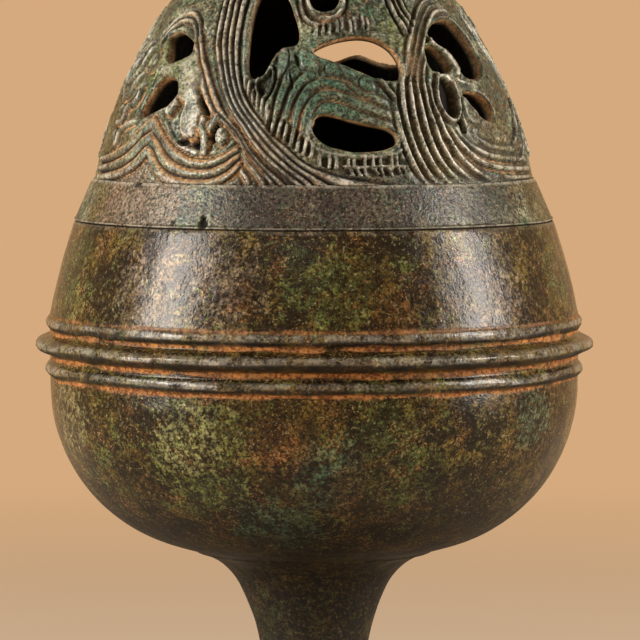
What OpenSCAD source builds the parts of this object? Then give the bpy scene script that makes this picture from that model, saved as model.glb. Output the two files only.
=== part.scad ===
// Bronze hill censer: a bowl on a stem and foot, closed by an openwork lid cast as misty hills.
// The foot, stem and bowl are separate castings held by one long iron rivet; the lid lifts off.

/* [Foot] */
// Diameter of the foot at its rim
foot_d = 84; // [72:1:100]
// Height of the upright rim that the censer stands on
foot_rim_h = 4.5; // [3:0.5:7]
// Width of the flat ring under the rim
foot_ring_w = 3; // [2:0.5:5]
// Height of the foot casting, up to the seat of the stem
foot_h = 20; // [17:0.5:28]
// Diameter of the rounded collar round the seat of the stem
foot_collar_d = 31; // [29:0.5:36]
// Height of the collar
foot_collar_h = 3; // [2:0.5:4]
// Thickness of the foot's wall
foot_wall = 2.6; // [2:0.1:3.5]
// Thickness of the web that the rivet passes through
foot_web = 5; // [4:0.5:7]

/* [Stem] */
// Height of the stem between its two seats
stem_h = 42.2; // [38:0.2:55]
// Diameter at the waist
stem_waist_d = 20.4; // [18:0.2:24]
// Radius of the long sweep on either side of the waist
stem_sweep_r = 43; // [38:1:60]
// Radius of the trumpet under the bowl
stem_flare_r = 13.5; // [10:0.5:16]
// Angle that the trumpet turns through before it runs into the long sweep
stem_flare_turn = 64; // [58:1:70]
// Thickness of the trumpet's edge
stem_edge = 0.4; // [0.3:0.1:1]
// Diameter of the hollow inside the stem
stem_bore_d = 12; // [9:0.5:14]
// Thickness of the web at the top of the hollow
stem_web = 6; // [4:0.5:8]
// Diameter of the spigot that centres the stem in the foot
stem_spigot_d = 18; // [16:0.5:20]
// Length of the spigot
stem_spigot_h = 2.5; // [1.5:0.5:3]
// Radial clearance of the spigot in the foot
spigot_gap = 0.2; // [0.1:0.05:0.4]

/* [Bowl] */
// Diameter of the bowl and of the lid where they meet
mouth_d = 94.6; // [88:0.2:100]
// Height of the bowl from its seat to the joint with the lid
bowl_h = 65.3; // [62:0.1:76]
// Diameter at the bottom of the plain upper band
band_d = 104.2; // [101:0.2:107]
// Height of the plain upper band
band_h = 18; // [14:0.5:19]
// Radius of the band's slight outward bow
band_sweep_r = 130; // [80:5:200]
// Diameter of the belly
belly_d = 104.4; // [100:0.2:107]
// Radius of the rounded lower wall
belly_sweep_r = 32.5; // [28:0.5:36]
// Height of the low boss that the stem seats on
boss_h = 0.15; // [0.1:0.05:0.5]
// Thickness of the bowl's wall
bowl_wall = 2.5; // [2:0.1:3.5]
// Thickness of the shoulder that the lid rests on
shoulder_t = 3; // [2:0.5:4]

/* [Ribs round the bowl] */
// Diameter of the upper rib
upper_rib_d = 105.6; // [104.8:0.2:109]
// Distance of the upper rib below the joint
upper_rib_drop = 20; // [19:0.5:21]
// Diameter of the main flange
flange_d = 110; // [107:0.5:116]
// Distance of the main flange below the joint
flange_drop = 24.2; // [23.8:0.2:25]
// Diameter of the lower rib
lower_rib_d = 106.2; // [105:0.2:109]
// Distance of the lower rib below the joint
lower_rib_drop = 29; // [28.5:0.5:31]
// Width of a rib at its root
rib_root_w = 2.4; // [1.6:0.1:3]
// Radius of a rib's rounded nose
rib_nose_r = 0.6; // [0.4:0.1:0.8]
// Width of the main flange at its root
flange_root_w = 3.6; // [2.6:0.2:4.4]
// Radius of the main flange's rounded nose
flange_nose_r = 0.7; // [0.5:0.1:1]

/* [Lip inside the lid] */
// Height of the lip above the joint
lip_h = 5; // [3:0.5:6.5]
// Thickness of the lip
lip_w = 1.6; // [1.2:0.1:2.2]
// Clearance between the lip and the lid
lip_gap = 0.4; // [0.3:0.1:0.8]

/* [Lid] */
// Height of the lid's plain band
lid_band_h = 8.3; // [7:0.1:11]
// Diameter at the top of the lid's band
lid_band_top_d = 87.4; // [84:0.2:92]
// Thickness of the lid's band
lid_band_w = 2.6; // [2:0.1:3.2]
// Set-back of the hills behind the band's top edge
dome_step = 0.5; // [0.3:0.1:1.2]
// Height of the dome of hills above the band
dome_h = 59.2; // [52:0.2:68]
// Radius of the dome's side
dome_sweep_r = 84; // [70:1:100]
// Thickness of the dome's wall
lid_wall = 2.5; // [1.8:0.1:3]
// Diameter of the summit at its base
summit_d = 17; // [13:0.5:22]
// Rise of the summit above the dome
summit_rise = 5; // [3:0.5:9]
// Radius of the summit's rounded tip
summit_tip_r = 2.2; // [1.4:0.1:3]

/* [Hill lines on the lid] */
// Height of the main hill lines above the dome
line_h = 0.4; // [0.2:0.05:0.45]
// Width of a hill line
line_w = 1.8; // [1.2:0.1:2.2]

/* [Rivet] */
// Diameter of the iron rivet
rivet_d = 6; // [4.5:0.5:7]
// Radial clearance of the rivet in its holes
rivet_gap = 0.2; // [0.1:0.05:0.4]
// Diameter of the rivet's head inside the bowl
rivet_head_d = 13; // [11:0.5:16]
// Height of the rivet's head
rivet_head_h = 3; // [2:0.5:4]
// Diameter of the hammered tail under the foot
rivet_tail_d = 10; // [9:0.5:12]
// Height of the hammered tail
rivet_tail_h = 2.5; // [1.5:0.5:3]
// Diameter of the iron rove between the tail and the foot
rove_d = 15; // [13:0.5:18]
// Thickness of the rove
rove_t = 1.5; // [1:0.5:2.5]

/* [Hidden] */
$fn = 96;

bronze = "#4b4a36";
bronze_light = "#5d5a45";
iron = "#5a4334";

// Cutters run this far past the faces that they cut.
over = 1;

// Heights of the seats, from the floor up.
bowl_seat_z = foot_h + stem_h;
joint_z = bowl_seat_z + bowl_h;
foot_web_z = foot_h - foot_web;

// Radii taken from the diameters above.
foot_r = foot_d / 2;
collar_r = foot_collar_d / 2;
waist_r = stem_waist_d / 2;
mouth_r = mouth_d / 2;
band_r = band_d / 2;
belly_r = belly_d / 2;
lid_band_top_r = lid_band_top_d / 2;
rivet_hole_r = rivet_d / 2 + rivet_gap;

// The trumpet's arc runs smoothly into the long sweep, and the sweep's centre is level with the waist.
flare_x = waist_r + stem_sweep_r * (1 - sin(stem_flare_turn)) + stem_flare_r * sin(stem_flare_turn);
flare_z = bowl_seat_z - stem_flare_r;
sweep_x = waist_r + stem_sweep_r;
waist_z = flare_z - (stem_sweep_r - stem_flare_r) * cos(stem_flare_turn);
turn_z = waist_z + stem_sweep_r * cos(stem_flare_turn);
stem_top_r = flare_x - sqrt(stem_edge * (2 * stem_flare_r - stem_edge));

// Centre of the bowl's lower wall.
belly_x = belly_r - belly_sweep_r;
belly_z = bowl_seat_z + boss_h + belly_sweep_r;
floor_z = bowl_seat_z + boss_h + bowl_wall;

// The lip leans inwards beside the lid's band.
band_lean = (mouth_r - lid_band_top_r) / lid_band_h;
lip_r = mouth_r - lid_band_w - lip_gap;

// Centre of a circle of radius r through the outer points p (low) and q (high) of a bulging wall.
function arc_centre(p, q, r) =
    let (chord = q - p, span = norm(chord), middle = (p + q) / 2, reach = sqrt(r * r - span * span / 4))
    middle + reach * [-chord[1], chord[0]] / span;

band_centre = arc_centre([band_r, joint_z - band_h], [mouth_r, joint_z], band_sweep_r);
dome_base_z = joint_z + lid_band_h;
dome_top_z = dome_base_z + dome_h;
dome_base_r = lid_band_top_r - dome_step;
dome_centre = arc_centre([dome_base_r, dome_base_z], [0, dome_top_z], dome_sweep_r);

// Outside radius of the dome at a height, and its height at a radius.
function dome_r(z) = dome_centre[0] + sqrt(pow(dome_sweep_r, 2) - pow(z - dome_centre[1], 2));
function dome_z(r) = dome_centre[1] + sqrt(pow(dome_sweep_r, 2) - pow(r - dome_centre[0], 2));

// The hills are drawn as points of angle round the lid, in degrees to the right of the front, and height
// above the joint, in mm, on a dome of the drawn height. They stretch with the dome.
drawn_band_h = 8.3;
drawn_dome_h = 59.2;
function hill_z(height) = dome_base_z + (height - drawn_band_h) * dome_h / drawn_dome_h;
function hill_point(p, facing) = [dome_r(hill_z(p[1])) * sin(p[0] - facing), hill_z(p[1])];

// A smooth closed outline inside a ring of control points.
curve_steps = 4;
function between(a, b, t) = a + (b - a) * t;
function smooth_ring(points) =
    let (n = len(points))
    [for (i = [0 : n - 1], k = [0 : curve_steps - 1])
        let (
            t = k / curve_steps,
            start = between(points[(i + n - 1) % n], points[i], 0.5),
            end = between(points[i], points[(i + 1) % n], 0.5)
        )
        between(between(start, points[i], t), between(points[i], end, t), t)];

// Smoke vents seen from the front, from the left and from the right.
tall_vent = [
    [-24, 46], [-22.5, 35], [-20, 28], [-14.5, 28.5], [-11.5, 34.5], [-3, 34.5], [-7, 41.5], [-13, 46.5]
];
slot_vent = [
    [-0.5, 21], [3, 22.2], [13, 20], [22.5, 19], [23.5, 15.5], [14, 14.2], [5, 15], [-0.5, 17.6]
];
front_vents = [
    tall_vent,
    slot_vent,
    [[-3, 33.4], [6, 36], [19, 36.9], [28, 34], [28.5, 28.5], [22, 27.4], [9, 31]],
    [[-3, 45.5], [0, 49], [8, 49.5], [12, 46], [10, 41.8], [3, 40.6], [-1.5, 42]]
];
left_vents = [
    [[-60, 36.5], [-54, 38], [-41, 35], [-44, 32], [-52, 30.5], [-55, 34]],
    [[-52, 29], [-43, 28], [-42, 24], [-50, 22], [-57, 20], [-57, 24]]
];
right_vents = [
    [[43, 38], [52, 40], [62, 39.5], [67, 33], [62, 27.6], [50, 28.4], [50, 33], [42, 35]],
    [[38, 34.5], [43, 34.8], [48, 30], [44, 29], [38, 29.7]],
    [[48, 26], [56, 25.8], [61.5, 22.8], [60.5, 19.7], [55, 20], [49, 24]]
];

// Vents at the two sides and at the back, which repeats the slot. The lens at the front looks out through the
// window at the back, and no other two vents are in line.
function half_turn(points) = [for (p = points) p + [180, 0]];
side_vent = [[84, 36], [92, 37.5], [97, 33], [94, 27], [87, 25], [83, 30]];
back_window = [
    [149, 30], [147.5, 35], [152, 39], [166, 39.5], [178, 38.5],
    [181, 35], [180, 30.5], [173, 30.8], [165, 33], [157, 30.5]
];
right_back_vent = [[139, 21], [144, 23.5], [150, 21], [149, 14], [143, 12.5], [139, 16]];
left_back_vent = [[208, 25], [214, 27], [220, 23], [218, 16], [211, 15], [207, 19]];

// Groups of vents, each with the way that it faces, in degrees to the right of the front.
vent_groups = [
    [0, front_vents],
    [-50, left_vents],
    [52, right_vents],
    [90, [side_vent]],
    [145, [right_back_vent]],
    [180, [back_window, half_turn(slot_vent)]],
    [213, [left_back_vent]],
    [270, [half_turn(side_vent)]]
];

// A line of points part of the way from one line to another.
function line_between(a, b, share) = [for (i = [0 : len(a) - 1]) between(a[i], b[i], share)];

// Long sweep of strands from the top down to the band, in front.
sweep_left = [
    [-38.5, 50], [-37.5, 43], [-34.6, 36], [-30, 29.7], [-25, 23.6], [-19.3, 18.8], [-12.5, 13], [-4, 8]
];
sweep_right = [
    [-26, 50], [-26.3, 43], [-25, 36], [-22.5, 29.5], [-17.8, 23.3], [-11.5, 18.7], [-3.5, 13.3], [8, 9.8]
];
// Arc over the slot vent.
slot_arc = [[-5.2, 18], [-3.8, 24.3], [3, 27.8], [12.5, 25.9], [22, 23.7]];
front_lines = [
    line_between(sweep_left, sweep_right, 0.1),
    line_between(sweep_left, sweep_right, 0.9),
    slot_arc
];

// Arched rock, the strand that runs down from it, and a peak with a valley beside it, on the left.
left_lines = [
    [[-63, 35.6], [-60, 38.7], [-52, 40.6], [-45, 39], [-41.4, 35.5], [-29.7, 24], [-18, 15.8], [-8, 8]],
    [[-77, 13.2], [-64, 14.8], [-56.5, 18], [-48.5, 21.4], [-42, 16.8], [-36.5, 14.6], [-30, 14], [-23, 15]],
    [[-80, 9.6], [-66, 10.2], [-57, 12], [-49.4, 16.8], [-43, 12.6], [-37, 10.4], [-29.5, 10], [-19, 13]]
];

// Waisted bundle of strands and the low hills beside it, on the right.
right_lines = [
    [[58, 43.5], [44.5, 41.8], [36.2, 37.5], [31, 32.5], [26.8, 27.5], [25.9, 20], [28.4, 13], [33, 8]],
    [[63, 40.3], [50.5, 40.8], [41.5, 37.4], [35.6, 32.7], [31.7, 28], [31.5, 20], [34.4, 13], [42, 8]],
    [[43.5, 17.4], [51, 14], [61, 12.9], [84, 12.2], [100, 11.6]]
];

// Peak at the side and strands beside the side vent.
side_lines = [
    [[66, 14], [72, 17.2], [79.5, 23.8], [87, 17.6], [95, 14.6]],
    [[106, 24], [102.5, 34], [100, 38.6], [94, 41.5], [86, 41.7], [80, 40]]
];

// Three peaks stand round the summit in each half turn.
top_peaks = [-62, -8, 60];
function top_peak(facing) = [
    for (p = [[-27, 46.5], [-13.8, 50.5], [-5.7, 55.5], [0, 58.8], [5.7, 55.5], [13.8, 50.5], [27, 46.5]])
        p + [facing, 0]
];

// Groups of hill lines, each with the way that it faces. The back repeats the front.
line_groups = [
    [-8, front_lines],
    [-42, left_lines],
    [42, right_lines],
    [85, side_lines],
    for (facing = top_peaks) [facing, [top_peak(facing)]]
];

// Edges of a hill line: points moved sideways over the dome's surface by a distance.
function dome_lean(z) = asin((z - dome_centre[1]) / dome_sweep_r);
function on_dome(p) = let (z = hill_z(p[1])) [dome_r(z) * p[0] * PI / 180, z / cos(dome_lean(z))];
function aside(points, i, away) =
    let (
        last = len(points) - 1,
        along = on_dome(points[min(i + 1, last)]) - on_dome(points[max(i - 1, 0)]),
        step = away * [-along[1], along[0]] / norm(along),
        z = hill_z(points[i][1])
    )
    points[i] + [step[0] / dome_r(z) * 180 / PI, step[1] * cos(dome_lean(z)) * drawn_dome_h / dome_h];
function ribbon(points, width) =
    let (last = len(points) - 1)
    concat(
        [for (i = [0 : last]) aside(points, i, width / 2)],
        [for (i = [last : -1 : 0]) aside(points, i, -width / 2)]
    );

// A ring turned about the upright axis from a half outline.
module turned() {
    rotate_extrude() children();
}

// Half outline of a rib with a rounded nose, standing out of a wall.
module rib_outline(r, z, root_r, root_w, nose_r) {
    translate([r - nose_r, z]) circle(nose_r);
    polygon([
        [root_r, z - root_w / 2],
        [r - nose_r, z - nose_r],
        [r - nose_r, z + nose_r],
        [root_r, z + root_w / 2]
    ]);
}

// Foot: an upright rim, a hollow trumpet and a collar that holds the stem's spigot.
foot_sweep_x = foot_r - foot_ring_w;
foot_rise = foot_h - foot_collar_h - foot_rim_h;
foot_run = foot_sweep_x - collar_r;
foot_sweep_r = (foot_run * foot_run + foot_rise * foot_rise) / (2 * foot_rise);
foot_sweep_z = foot_rim_h + foot_sweep_r;

module foot_slope(r) {
    difference() {
        square([foot_sweep_x, foot_h - foot_collar_h]);
        translate([foot_sweep_x, foot_sweep_z]) circle(r);
    }
}

module foot() {
    color(bronze) turned() difference() {
        union() {
            square([foot_r, foot_rim_h]);
            foot_slope(foot_sweep_r);
            translate([0, foot_h - foot_collar_h]) square([collar_r - foot_collar_h / 2, foot_collar_h]);
            translate([collar_r - foot_collar_h / 2, foot_h - foot_collar_h / 2]) circle(foot_collar_h / 2);
        }
        // Hollow underside, parallel to the slope
        intersection() {
            foot_slope(foot_sweep_r + foot_wall);
            square([foot_r - foot_ring_w, foot_web_z]);
        }
        // Socket for the spigot and hole for the rivet
        translate([0, foot_h - stem_spigot_h - spigot_gap])
            square([stem_spigot_d / 2 + spigot_gap, stem_spigot_h + spigot_gap + over]);
        square([rivet_hole_r, foot_h]);
    }
}

// Stem: a waisted trumpet, hollow from below, with a web under the bowl.
module stem() {
    color(bronze) turned() difference() {
        union() {
            difference() {
                translate([0, foot_h]) square([stem_top_r, turn_z - foot_h]);
                translate([sweep_x, waist_z]) circle(stem_sweep_r);
            }
            difference() {
                translate([0, turn_z]) square([stem_top_r, bowl_seat_z - turn_z]);
                translate([flare_x, flare_z]) circle(stem_flare_r);
            }
            translate([0, foot_h - stem_spigot_h]) square([stem_spigot_d / 2, stem_spigot_h]);
        }
        translate([0, foot_h - stem_spigot_h - over])
            square([stem_bore_d / 2, stem_h + stem_spigot_h + over - stem_web]);
        square([rivet_hole_r, bowl_seat_z + over]);
    }
}

// Half outlines of the bowl's outside and of its hollow.
module bowl_outside() {
    translate([0, bowl_seat_z]) square([stem_top_r, belly_sweep_r]);
    translate([0, bowl_seat_z + boss_h]) square([belly_x, belly_sweep_r]);
    intersection() {
        translate([belly_x, belly_z]) circle(belly_sweep_r);
        translate([0, bowl_seat_z + boss_h]) square([belly_r, belly_sweep_r]);
    }
    translate([0, belly_z]) square([belly_r, joint_z - band_h - belly_z]);
    intersection() {
        translate(band_centre) circle(band_sweep_r);
        translate([0, joint_z - band_h]) square([band_r, band_h]);
    }
    translate([0, joint_z]) polygon([[0, 0], [lip_r, 0], [lip_r - band_lean * lip_h, lip_h], [0, lip_h]]);
}

module bowl_hollow() {
    translate([0, floor_z]) square([belly_x, belly_sweep_r - bowl_wall]);
    intersection() {
        translate([belly_x, belly_z]) circle(belly_sweep_r - bowl_wall);
        translate([0, floor_z]) square([belly_r, belly_sweep_r - bowl_wall]);
    }
    translate([0, belly_z]) square([belly_r - bowl_wall, joint_z - band_h - belly_z]);
    intersection() {
        translate(band_centre) circle(band_sweep_r - bowl_wall);
        translate([0, joint_z - band_h]) square([band_r, band_h - shoulder_t]);
    }
    lip_in_r = lip_r - lip_w;
    below = shoulder_t;
    above = lip_h + over;
    translate([0, joint_z]) polygon([
        [0, -below],
        [lip_in_r + band_lean * below, -below],
        [lip_in_r - band_lean * above, above],
        [0, above]
    ]);
}

// Bowl: round below, a plain band above three ribs, and a lip for the lid.
module bowl() {
    color(bronze) turned() {
        difference() {
            bowl_outside();
            bowl_hollow();
            square([rivet_hole_r, floor_z + over]);
        }
        root_r = min(belly_r, band_r) - bowl_wall / 2;
        rib_outline(upper_rib_d / 2, joint_z - upper_rib_drop, root_r, rib_root_w, rib_nose_r);
        rib_outline(flange_d / 2, joint_z - flange_drop, root_r, flange_root_w, flange_nose_r);
        rib_outline(lower_rib_d / 2, joint_z - lower_rib_drop, root_r, rib_root_w, rib_nose_r);
    }
}

// Half outline of the lid: a plain band, the dome of hills and the summit.
module dome_outline(r) {
    intersection() {
        translate(dome_centre) circle(r);
        translate([0, dome_base_z]) square([mouth_r, dome_h]);
    }
}

module band_outline(inset) {
    polygon([
        [0, joint_z],
        [mouth_r - inset, joint_z],
        [lid_band_top_r - inset, dome_base_z],
        [0, dome_base_z]
    ]);
}

module summit_outline() {
    top_z = dome_top_z + summit_rise - summit_tip_r;
    foot_z = dome_z(summit_d / 2);
    intersection() {
        translate([0, top_z]) circle(summit_tip_r);
        translate([0, top_z]) square(summit_tip_r);
    }
    polygon([
        [0, foot_z - lid_wall / 2],
        [summit_d / 2 - lid_wall / 2, foot_z - lid_wall / 2],
        [summit_d / 2, foot_z],
        [summit_tip_r, top_z],
        [0, top_z]
    ]);
}

// Smooth shell of the lid, before its lines and vents.
module lid_shell() {
    turned() {
        difference() {
            band_outline(0);
            band_outline(lid_band_w);
        }
        difference() {
            dome_outline(dome_sweep_r);
            dome_outline(dome_sweep_r - lid_wall);
        }
        summit_outline();
    }
}

// Vents of one group, cut straight through the dome's wall towards the way that they face.
module vent_cuts(facing, outlines) {
    rotate([0, 0, facing]) rotate([90, 0, 0]) linear_extrude(mouth_r)
        for (outline = outlines)
            polygon([for (p = smooth_ring(outline)) hill_point(p, facing)]);
}

// Raised lines of one group, drawn towards the way that they face.
module line_blanks(facing, lines) {
    rotate([0, 0, facing]) rotate([90, 0, 0]) linear_extrude(mouth_r)
        for (points = lines)
            polygon([for (p = ribbon(points, line_w)) hill_point(p, facing)]);
}

// Layer that the lines fill: from inside the dome's wall to the lines' height, and down into the band.
module line_layer() {
    turned() intersection() {
        difference() {
            translate(dome_centre) circle(dome_sweep_r + line_h);
            translate(dome_centre) circle(dome_sweep_r - lid_wall / 2);
        }
        translate([0, dome_base_z - over]) square([mouth_r, dome_h]);
    }
}

// Main lines of the hills, which stand out of the dome's wall.
module hill_lines() {
    for (turn = [0, 180], group = line_groups)
        rotate([0, 0, turn]) intersection() {
            line_layer();
            line_blanks(group[0], group[1]);
        }
}

// Lid: one openwork casting.
module hill_lid() {
    color(bronze_light) difference() {
        union() {
            lid_shell();
            hill_lines();
        }
        for (group = vent_groups) vent_cuts(group[0], group[1]);
    }
}

// Long iron rivet: head inside the bowl, shank down the hollow stem, tail hammered over under the foot.
module tie_rivet() {
    tail_z = foot_web_z - rove_t;
    shank_r = rivet_d / 2;
    head_r = rivet_head_d / 2;
    head_sweep_r = (head_r * head_r + rivet_head_h * rivet_head_h) / (2 * rivet_head_h);
    end_z = tail_z - rivet_tail_h;
    color(iron) turned() {
        translate([0, end_z]) square([shank_r, floor_z + rivet_head_h / 2 - end_z]);
        translate([0, end_z]) square([rivet_tail_d / 2, rivet_tail_h]);
        intersection() {
            translate([0, floor_z + rivet_head_h - head_sweep_r]) circle(head_sweep_r);
            translate([0, floor_z]) square([head_r, rivet_head_h]);
        }
    }
}

// Iron rove that spreads the rivet's pull under the foot's web.
module rivet_rove() {
    color(iron) turned() translate([rivet_hole_r, foot_web_z - rove_t])
        square([rove_d / 2 - rivet_hole_r, rove_t]);
}

foot();
stem();
bowl();
hill_lid();
tie_rivet();
rivet_rove();
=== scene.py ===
"""Bronze hill censer: cast and worn surfaces, patina, floor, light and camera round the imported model.

Lengths are in millimetres until a mesh is made; Blender's own values are in metres.
Angles round the censer are in degrees to the right of the front, which faces -Y.
"""
import math

import bpy
import numpy as np
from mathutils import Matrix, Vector


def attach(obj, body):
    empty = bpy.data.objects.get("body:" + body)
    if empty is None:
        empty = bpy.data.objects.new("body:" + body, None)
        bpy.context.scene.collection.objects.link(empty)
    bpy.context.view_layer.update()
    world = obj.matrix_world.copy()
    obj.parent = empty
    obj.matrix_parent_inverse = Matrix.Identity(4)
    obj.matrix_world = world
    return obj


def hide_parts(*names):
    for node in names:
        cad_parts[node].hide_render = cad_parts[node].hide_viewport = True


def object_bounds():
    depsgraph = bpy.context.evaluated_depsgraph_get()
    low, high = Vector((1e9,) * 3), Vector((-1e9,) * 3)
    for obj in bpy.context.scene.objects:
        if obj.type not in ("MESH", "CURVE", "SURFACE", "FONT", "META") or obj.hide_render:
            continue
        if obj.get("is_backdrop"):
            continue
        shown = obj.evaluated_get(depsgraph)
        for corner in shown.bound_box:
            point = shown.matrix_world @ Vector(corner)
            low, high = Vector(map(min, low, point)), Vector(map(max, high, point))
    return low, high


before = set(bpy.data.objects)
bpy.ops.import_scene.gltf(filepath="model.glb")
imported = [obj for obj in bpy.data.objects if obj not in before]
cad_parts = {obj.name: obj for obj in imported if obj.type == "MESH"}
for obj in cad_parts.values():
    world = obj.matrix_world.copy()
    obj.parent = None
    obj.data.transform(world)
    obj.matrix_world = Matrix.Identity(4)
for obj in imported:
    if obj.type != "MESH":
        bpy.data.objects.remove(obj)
cad_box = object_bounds()

MM = 0.001
RAD = math.pi / 180

# Points of an outline nearer than this are one point
MERGE = 0.05

# Heights from the floor
JOINT_Z = 127.5
BOWL_SEAT_Z = 62.2
FOOT_TOP_Z = 20.0

# Lid: band, dome and summit
LID_BAND_H = 8.3
LID_MOUTH_R = 47.3
LID_BAND_TOP_R = 43.7
LID_BAND_W = 2.6
DOME_CENTRE = (-39.2, 120.7)
DOME_SWEEP_R = 84.0
DOME_STEP = 0.5
LID_WALL = 2.4
SUMMIT_R = 8.5
SUMMIT_TIP_R = 2.2
SUMMIT_TOP_Z = 200.0

# Spacing of the lid's mesh: columns round it, mm between rows, and fine cells along a merged block
LID_COLUMNS = 936
LID_STEP = 0.29
COARSE = 6

# The drawn half of the lid starts at the left side; repeats that come this near to it are drawn, in degrees
FIRST_DEGREE = -90
REPEAT_REACH = 22

# Radius at which the hills' lengths are measured
MEAN_R = 36

# Relief of the hills, measured from the dome's own surface
GROUND = -0.2
DEEPEST = -1.95
BEVEL = 0.4
ROUND_BEVEL = 0.8
CROWN = 0.1

# Grooves beside the strands, which are shallower where the strands are narrower than the full pitch
GROOVE_WIDTH = 0.3
GROOVE_DEPTH = 0.85
GROOVE_REACH = 1.0
FULL_PITCH = 0.9

# Soil, painted shadow and painted highlight of a bundle: distance from the strand's edge or share of its
# width, and half width
EARTH_AWAY = 0.52
EARTH_HALF = 0.32
EARTH_PITCH = 0.95
EARTH_FADE = 0.6
SHADE_AWAY = -0.05
SHADE_HALF = 0.28
LIT_AT = 0.6
LIT_HALF = 0.28

# Lips of the vents: level, reach and how far the very edge drops
LIP_LEVEL = -0.1
LIP_REACH = 0.8
LIP_DROP = 0.45
LIP_DROP_REACH = 0.6
FAR_FROM_VENT = 9.0

# Points nearer to a vent's edge than this share of the row spacing are moved onto it
SNAP_REACH = 0.52


# Numbers

def smooth(x):
    """Eased step from 0 to 1."""
    x = np.clip(x, 0, 1)
    return x * x * (3 - 2 * x)


def near(away, half, flat=1.4):
    """1 where the distance away is small, easing to 0 where it is flat times the half width."""
    return smooth(flat - np.abs(away) / half)


def hashed(i, j, k, seed):
    """A fixed number from 0 to 1 for each lattice point."""
    n = (i * 73856093) ^ (j * 19349663) ^ (k * 83492791) ^ (seed * 65537)
    n = (n ^ (n >> 13)) * 1274126177 & 0xFFFFFFFF
    return ((n ^ (n >> 16)) & 0xFFFF) / 65535.0


def cloud(points, size, seed):
    """Smooth uneven field from -1 to 1 with features about size mm across."""
    q = np.asarray(points, float) / size
    low = np.floor(q).astype(np.int64)
    f = smooth(q - low)
    total = 0
    for corner in range(8):
        bits = [(corner >> axis) & 1 for axis in range(3)]
        weight = 1
        for axis in range(3):
            weight = weight * (f[..., axis] if bits[axis] else 1 - f[..., axis])
        total = total + weight * hashed(*(low[..., axis] + bits[axis] for axis in range(3)), seed)
    return 2 * total - 1


def rough(points, layers, start=0):
    """Sum of uneven fields, each given by its height, the size of its features in mm and its seed."""
    return sum((height * cloud(points, size, seed) for height, size, seed in layers), start)


def blurred(field, reach):
    """Box blur over some cells each way, which wraps round the columns."""
    n = 2 * reach + 1
    for mode in ("edge", "wrap"):
        padded = np.pad(field, ((reach, reach), (0, 0)), mode=mode)
        sums = np.vstack([np.zeros_like(padded[:1]), np.cumsum(padded, axis=0)])
        field = ((sums[n:] - sums[:-n]) / n).T
    return field


def arc_from(degrees, at, radius):
    """Distance in mm round the axis from one angle to others."""
    return ((degrees - at + 180) % 360 - 180) * RAD * radius


# Curves

def spline(points, steps=6):
    """Smooth line through points."""
    p = np.array(points, float)
    last = len(p) - 1
    t = (np.arange(steps) / steps)[:, None]
    parts = []
    for i in range(last):
        a, b, c, d = p[max(i - 1, 0)], p[i], p[i + 1], p[min(i + 2, last)]
        parts.append(0.5 * (2 * b + (c - a) * t + (2 * a - 5 * b + 4 * c - d) * t ** 2
                            + (3 * b - a - 3 * c + d) * t ** 3))
    return np.vstack(parts + [p[-1:]])


def ring(points, steps=5):
    """Smooth closed outline inside a ring of control points."""
    p = np.array(points, float)
    mid = p[:, None]
    start = ((np.roll(p, 1, 0) + p) / 2)[:, None]
    end = ((np.roll(p, -1, 0) + p) / 2)[:, None]
    t = (np.arange(steps) / steps)[None, :, None]
    return ((1 - t) ** 2 * start + 2 * t * (1 - t) * mid + t ** 2 * end).reshape(-1, 2)


def arc(centre, radius, start, end, spacing):
    """Points of a half outline along an arc, angles in degrees."""
    n = max(2, int(abs(end - start) * RAD * radius / spacing))
    a = np.linspace(start, end, n + 1) * RAD
    return np.stack([centre[0] + radius * np.cos(a), centre[1] + radius * np.sin(a)], 1)


def line(start, end, spacing):
    """Points of a half outline along a straight line."""
    n = max(1, int(math.dist(start, end) / spacing))
    t = np.linspace(0, 1, n + 1)[:, None]
    return np.array(start) * (1 - t) + np.array(end) * t


def joined(*parts):
    """One outline from parts laid end to end."""
    points = np.vstack(parts)
    keep = np.hypot(*np.diff(points, axis=0, prepend=points[:1] - 1).T) > MERGE
    return points[keep]


# Meshes

def build_mesh(name, points, polygons, marks):
    """Smooth-shaded object from points in mm, arrays of polygons and each point's four marks of patina and
    painted light.
    """
    polygons = [np.asarray(p) for p in polygons if len(p)]
    corners = np.concatenate([p.ravel() for p in polygons])
    sizes = np.concatenate([np.full(len(p), p.shape[1]) for p in polygons])
    used = np.unique(corners)
    renumber = np.full(len(points), -1)
    renumber[used] = np.arange(len(used))
    mesh = bpy.data.meshes.new(name)
    mesh.vertices.add(len(used))
    mesh.vertices.foreach_set("co", (points[used] * MM).astype(np.float32).ravel())
    mesh.loops.add(len(corners))
    mesh.loops.foreach_set("vertex_index", renumber[corners].astype(np.int32))
    mesh.polygons.add(len(sizes))
    mesh.polygons.foreach_set("loop_start", (np.cumsum(sizes) - sizes).astype(np.int32))
    mesh.update(calc_edges=True)
    # The wear attribute holds soil, wear with painted highlights, dark with painted shade, and soot
    layer = mesh.color_attributes.new("wear", "FLOAT_COLOR", "POINT")
    layer.data.foreach_set("color", np.clip(marks[used], 0, 1).astype(np.float32).ravel())
    mesh.shade_smooth()
    piece = bpy.data.objects.new(name, mesh)
    bpy.context.scene.collection.objects.link(piece)
    return piece


def place(radius, degrees, z):
    """Points in space from radius, angle and height."""
    a = np.asarray(degrees) * RAD
    return np.stack(np.broadcast_arrays(radius * np.sin(a), -radius * np.cos(a), z), -1)


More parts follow.
